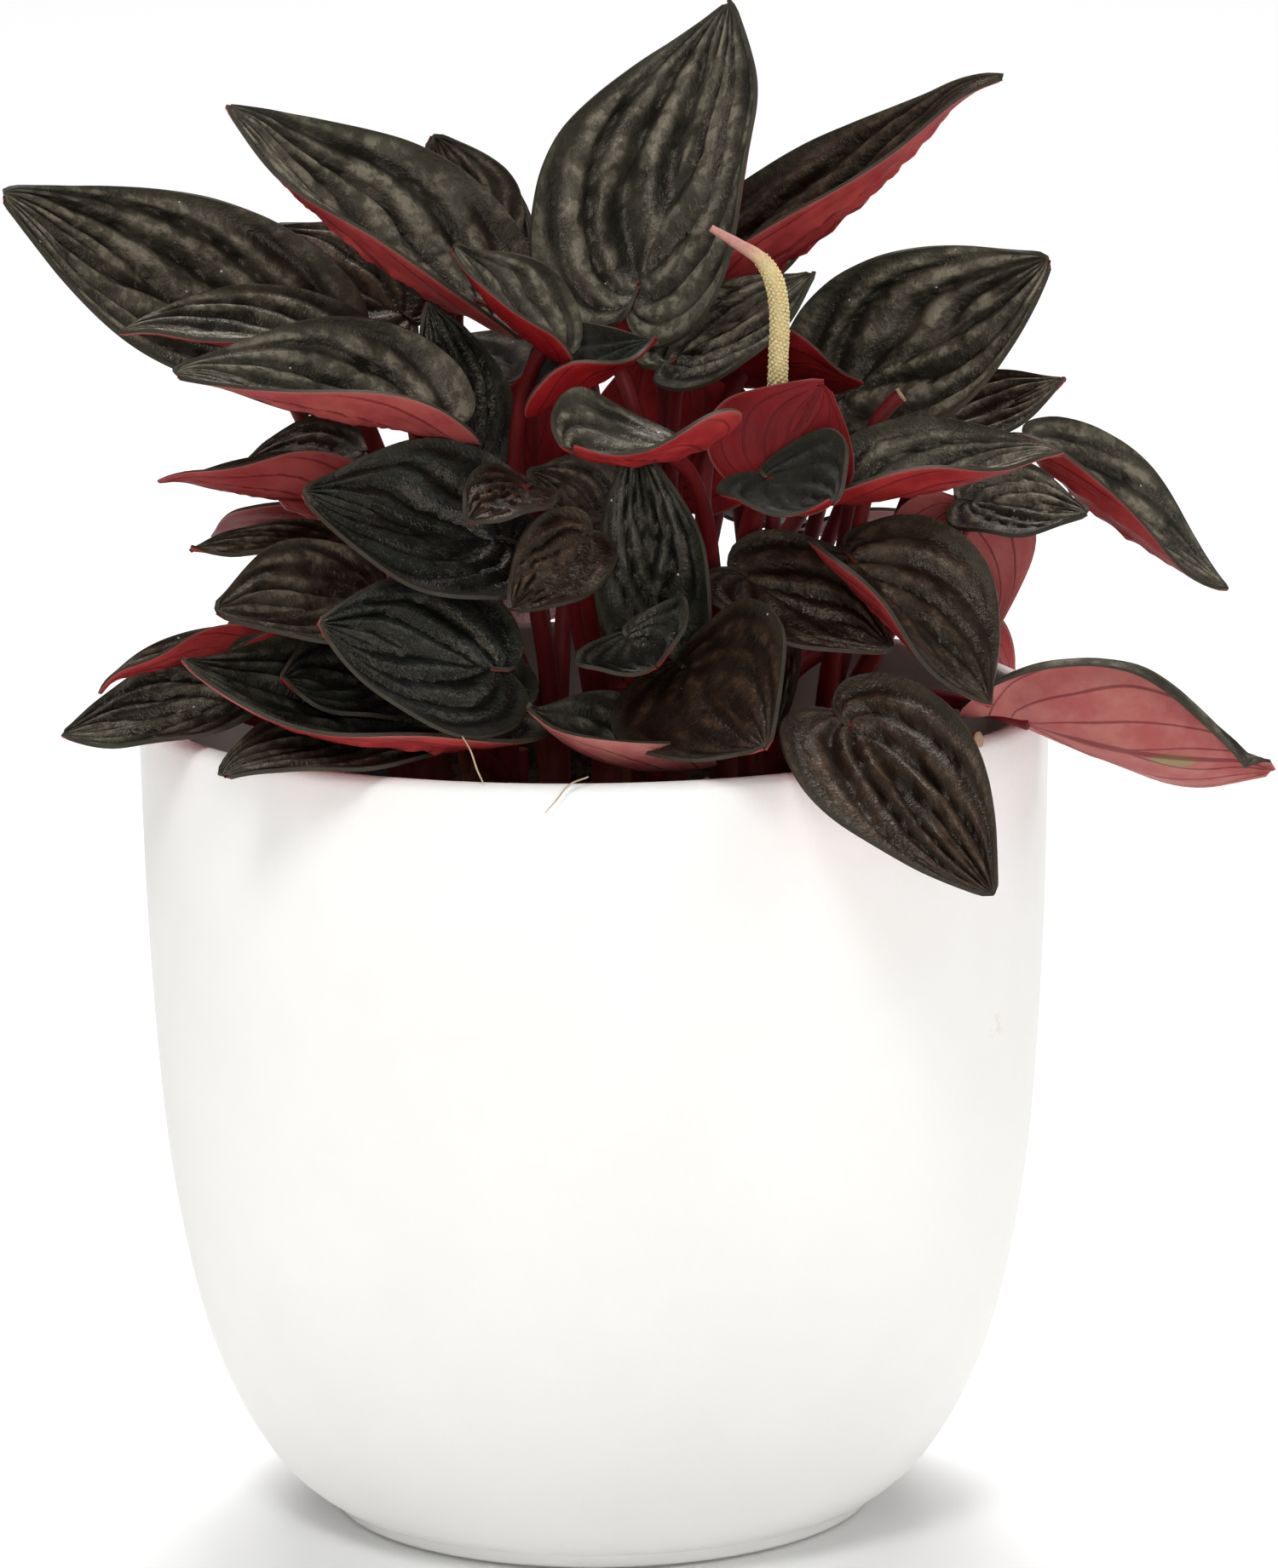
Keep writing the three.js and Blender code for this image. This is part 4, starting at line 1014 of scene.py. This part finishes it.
for name, (end, *turning) in CUT_STALKS.items():
    rod, arrive = make_stalk(SHOOTS[name][0], end, 0, turning=turning[0] if turning else None)
    bpy.ops.mesh.primitive_cylinder_add(vertices=14, radius=CAP_RADIUS, depth=CAP_DEPTH)
    cap = bpy.context.object
    edited(bevel={"offset": CAP_BEVEL, "segments": 2})
    facing = Vector(arrive).to_track_quat("Z", "X").to_matrix().to_4x4()
    cap.data.transform(Matrix.Translation(Vector(end) * MM) @ facing)
    dress(cap, cork)
    dress(rod, stalk_skin.material)
    made_shoots[name] = joined([made_shoots[name], rod, cap], name + "_leaves")
    smooth_shading(LEAF_SHARPNESS)
for name, shoot in made_shoots.items():
    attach(shoot, "root")
    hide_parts(name)
print(len(CUT_STALKS), "cut stalks on", len(made_shoots), "shoots")

# %% [markdown]
# ## Flower spike
# The flower of this plant is a thin spike: a smooth stalk, then a length packed with pale yellow
# florets, then a smooth pink tip that bends over. Both rods are bevelled curves through the same
# points as the solids, with a radius that changes on the way.

# %% Spike and its stalk
SPIKE = [(28.2, -24, 178), (28.4, -24, 183), (28.6, -24, 187), (28.4, -24, 191), (27.5, -24, 194.6),
         (25.6, -24, 197.3), (22.4, -24, 199.4), (18.5, -24, 201.8)]
SPIKE_RADII = [1.15, 1.2, 1.2, 1.2, 1.2, 1.15, 1.05, 0.85, 0.55]
SPIKE_STALK = [(24, -22, 94.5), (24, -22, 106), (25, -23, 128), (27.4, -24, 158), (28.2, -24, 177.7)]


def make_wand(points, radii, name, parts=6):
    """A round rod through many points, its radius given at even steps along it."""
    path = smooth_path(points, parts)
    data = bpy.data.curves.new(name, "CURVE")
    data.dimensions, data.bevel_depth, data.bevel_resolution, data.use_fill_caps = "3D", MM, 4, True
    spline = data.splines.new("POLY")
    spline.points.add(len(path) - 1)
    shares = np.linspace(0, 1, len(radii))
    for i, p in enumerate(path):
        spline.points[i].co = (*[c * MM for c in p], 1)
        spline.points[i].radius = float(np.interp(i / (len(path) - 1), shares, radii))
    wand = bpy.data.objects.new(name, data)
    bpy.context.collection.objects.link(wand)
    bpy.ops.object.select_all(action="DESELECT")
    wand.select_set(True)
    bpy.context.view_layer.objects.active = wand
    wand = mesh_from_curve()
    smooth_shading(60)
    return wand


flower_stalk = make_wand(SPIKE_STALK, [1.25, 1.2, 1.15], "flower_stalk_rod")
dress(flower_stalk, stalk_skin.material)
spike = make_wand(SPIKE, SPIKE_RADII, "flower_spike_florets", 8)
print("spike body:", len(spike.data.polygons), "faces")

# %% [markdown]
# ## Florets
# The florets are beads of few faces. Each next one turns by the golden angle, which is how plants
# pack them, so no rows line up. They shrink towards the tip, and the finish turns from yellow to pink
# where the spike bends over.

# %% Florets
FLORET_COUNT, FLORET_RADIUS, GOLDEN_ANGLE = 390, 0.31, 2.39996
COVERED = 0.70  # share of the spike's length with florets
FADE_START = 0.8  # share of the florets before they shrink

petals = f = Finish("spike_florets", 0.6)
parts = f.node("SeparateXYZ", Vector=f.place).outputs
tipward = f.band(f.maths("SUBTRACT", parts[2], parts[0]), 0.1675, 0.1765)
specks = f.grain(1600, 3)
yellow = f.blended(specks, (0.62, 0.46, 0.18), (0.95, 0.83, 0.5))
rosy = f.blended(specks, (0.44, 0.19, 0.15), (0.6, 0.31, 0.26))
f.join("Base Color", f.blended(tipward, yellow, rosy))
f.shader.inputs["Subsurface Weight"].default_value = 0.15
f.shader.inputs["Subsurface Scale"].default_value = 0.001
f.raised(f.grain(2600, 2), 0.00012, 0.7)
dress(spike, petals.material)

path = np.array(smooth_path(SPIKE, 24))
run = np.concatenate([[0], np.cumsum(np.linalg.norm(np.diff(path, axis=0), axis=1))])


def along_spike(d):
    """The spike's middle line at d mm from its foot."""
    return np.array([np.interp(d, run, path[:, k]) for k in range(3)])


bpy.ops.mesh.primitive_ico_sphere_add(subdivisions=1, radius=FLORET_RADIUS * MM)
floret = bpy.context.object
florets = []
for i in range(FLORET_COUNT):
    d = (i + 0.5) / FLORET_COUNT * COVERED * run[-1]
    centre = along_spike(d)
    forward = unit(along_spike(d + 0.4) - centre)
    one = unit(np.cross(forward, (0, 1, 0)))
    other = np.cross(forward, one)
    turn = i * GOLDEN_ANGLE
    out = one * math.cos(turn) + other * math.sin(turn)
    fade = 1 - 0.55 * max(0, (i / FLORET_COUNT - FADE_START) / (1 - FADE_START))
    bead = floret.copy()
    bead.data = floret.data.copy()
    at = (centre + out * (1.3 * (0.8 + 0.2 * fade))) * MM
    size = fade * dice.uniform(0.85, 1.2)
    bead.data.transform(Matrix.Translation(at) @ Matrix.Scale(size, 4))
    dress(bead, petals.material)
    bpy.context.collection.objects.link(bead)
    florets.append(bead)
bpy.data.objects.remove(floret)
spike = joined([spike] + florets, "flower_spike_florets")
smooth_shading(70)
for piece, slot, solid in ((flower_stalk, "flower_stalk", "flower_stalk"),
                           (spike, "flower", "flower_spike")):
    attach(piece, "root")
    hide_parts(solid)
print("spike with", len(florets), "florets:", len(spike.data.polygons), "faces")

# %% [markdown]
# ## Stray fibres
# Two fine dry root fibres hang over the rim at the front. They are thin tapering rods.

# %% Fibres
LEFT_FIBRE = [(-18.9, -66, 133.7), (-17.5, -67, 131.4), (-16.6, -67.8, 128.8), (-15.8, -67.6, 126.9)]
RIGHT_FIBRE = [(-0.5, -69.5, 127.8), (-3.2, -70.5, 126.9), (-5.2, -70.8, 124.6), (-6.8, -70.7, 122.8)]

dry = grainy(("dry_fibre", 0.8), ((0.3, 0.2, 0.12), (0.6, 0.48, 0.36)), (900,))
for fibre in (make_wand(LEFT_FIBRE, [0.08, 0.14, 0.12], "fibre_left"),
              make_wand(RIGHT_FIBRE, [0.12, 0.12, 0.06], "fibre_right")):
    dress(fibre, dry)
    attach(fibre, "root")
    print(fibre.name, len(fibre.data.polygons), "faces")
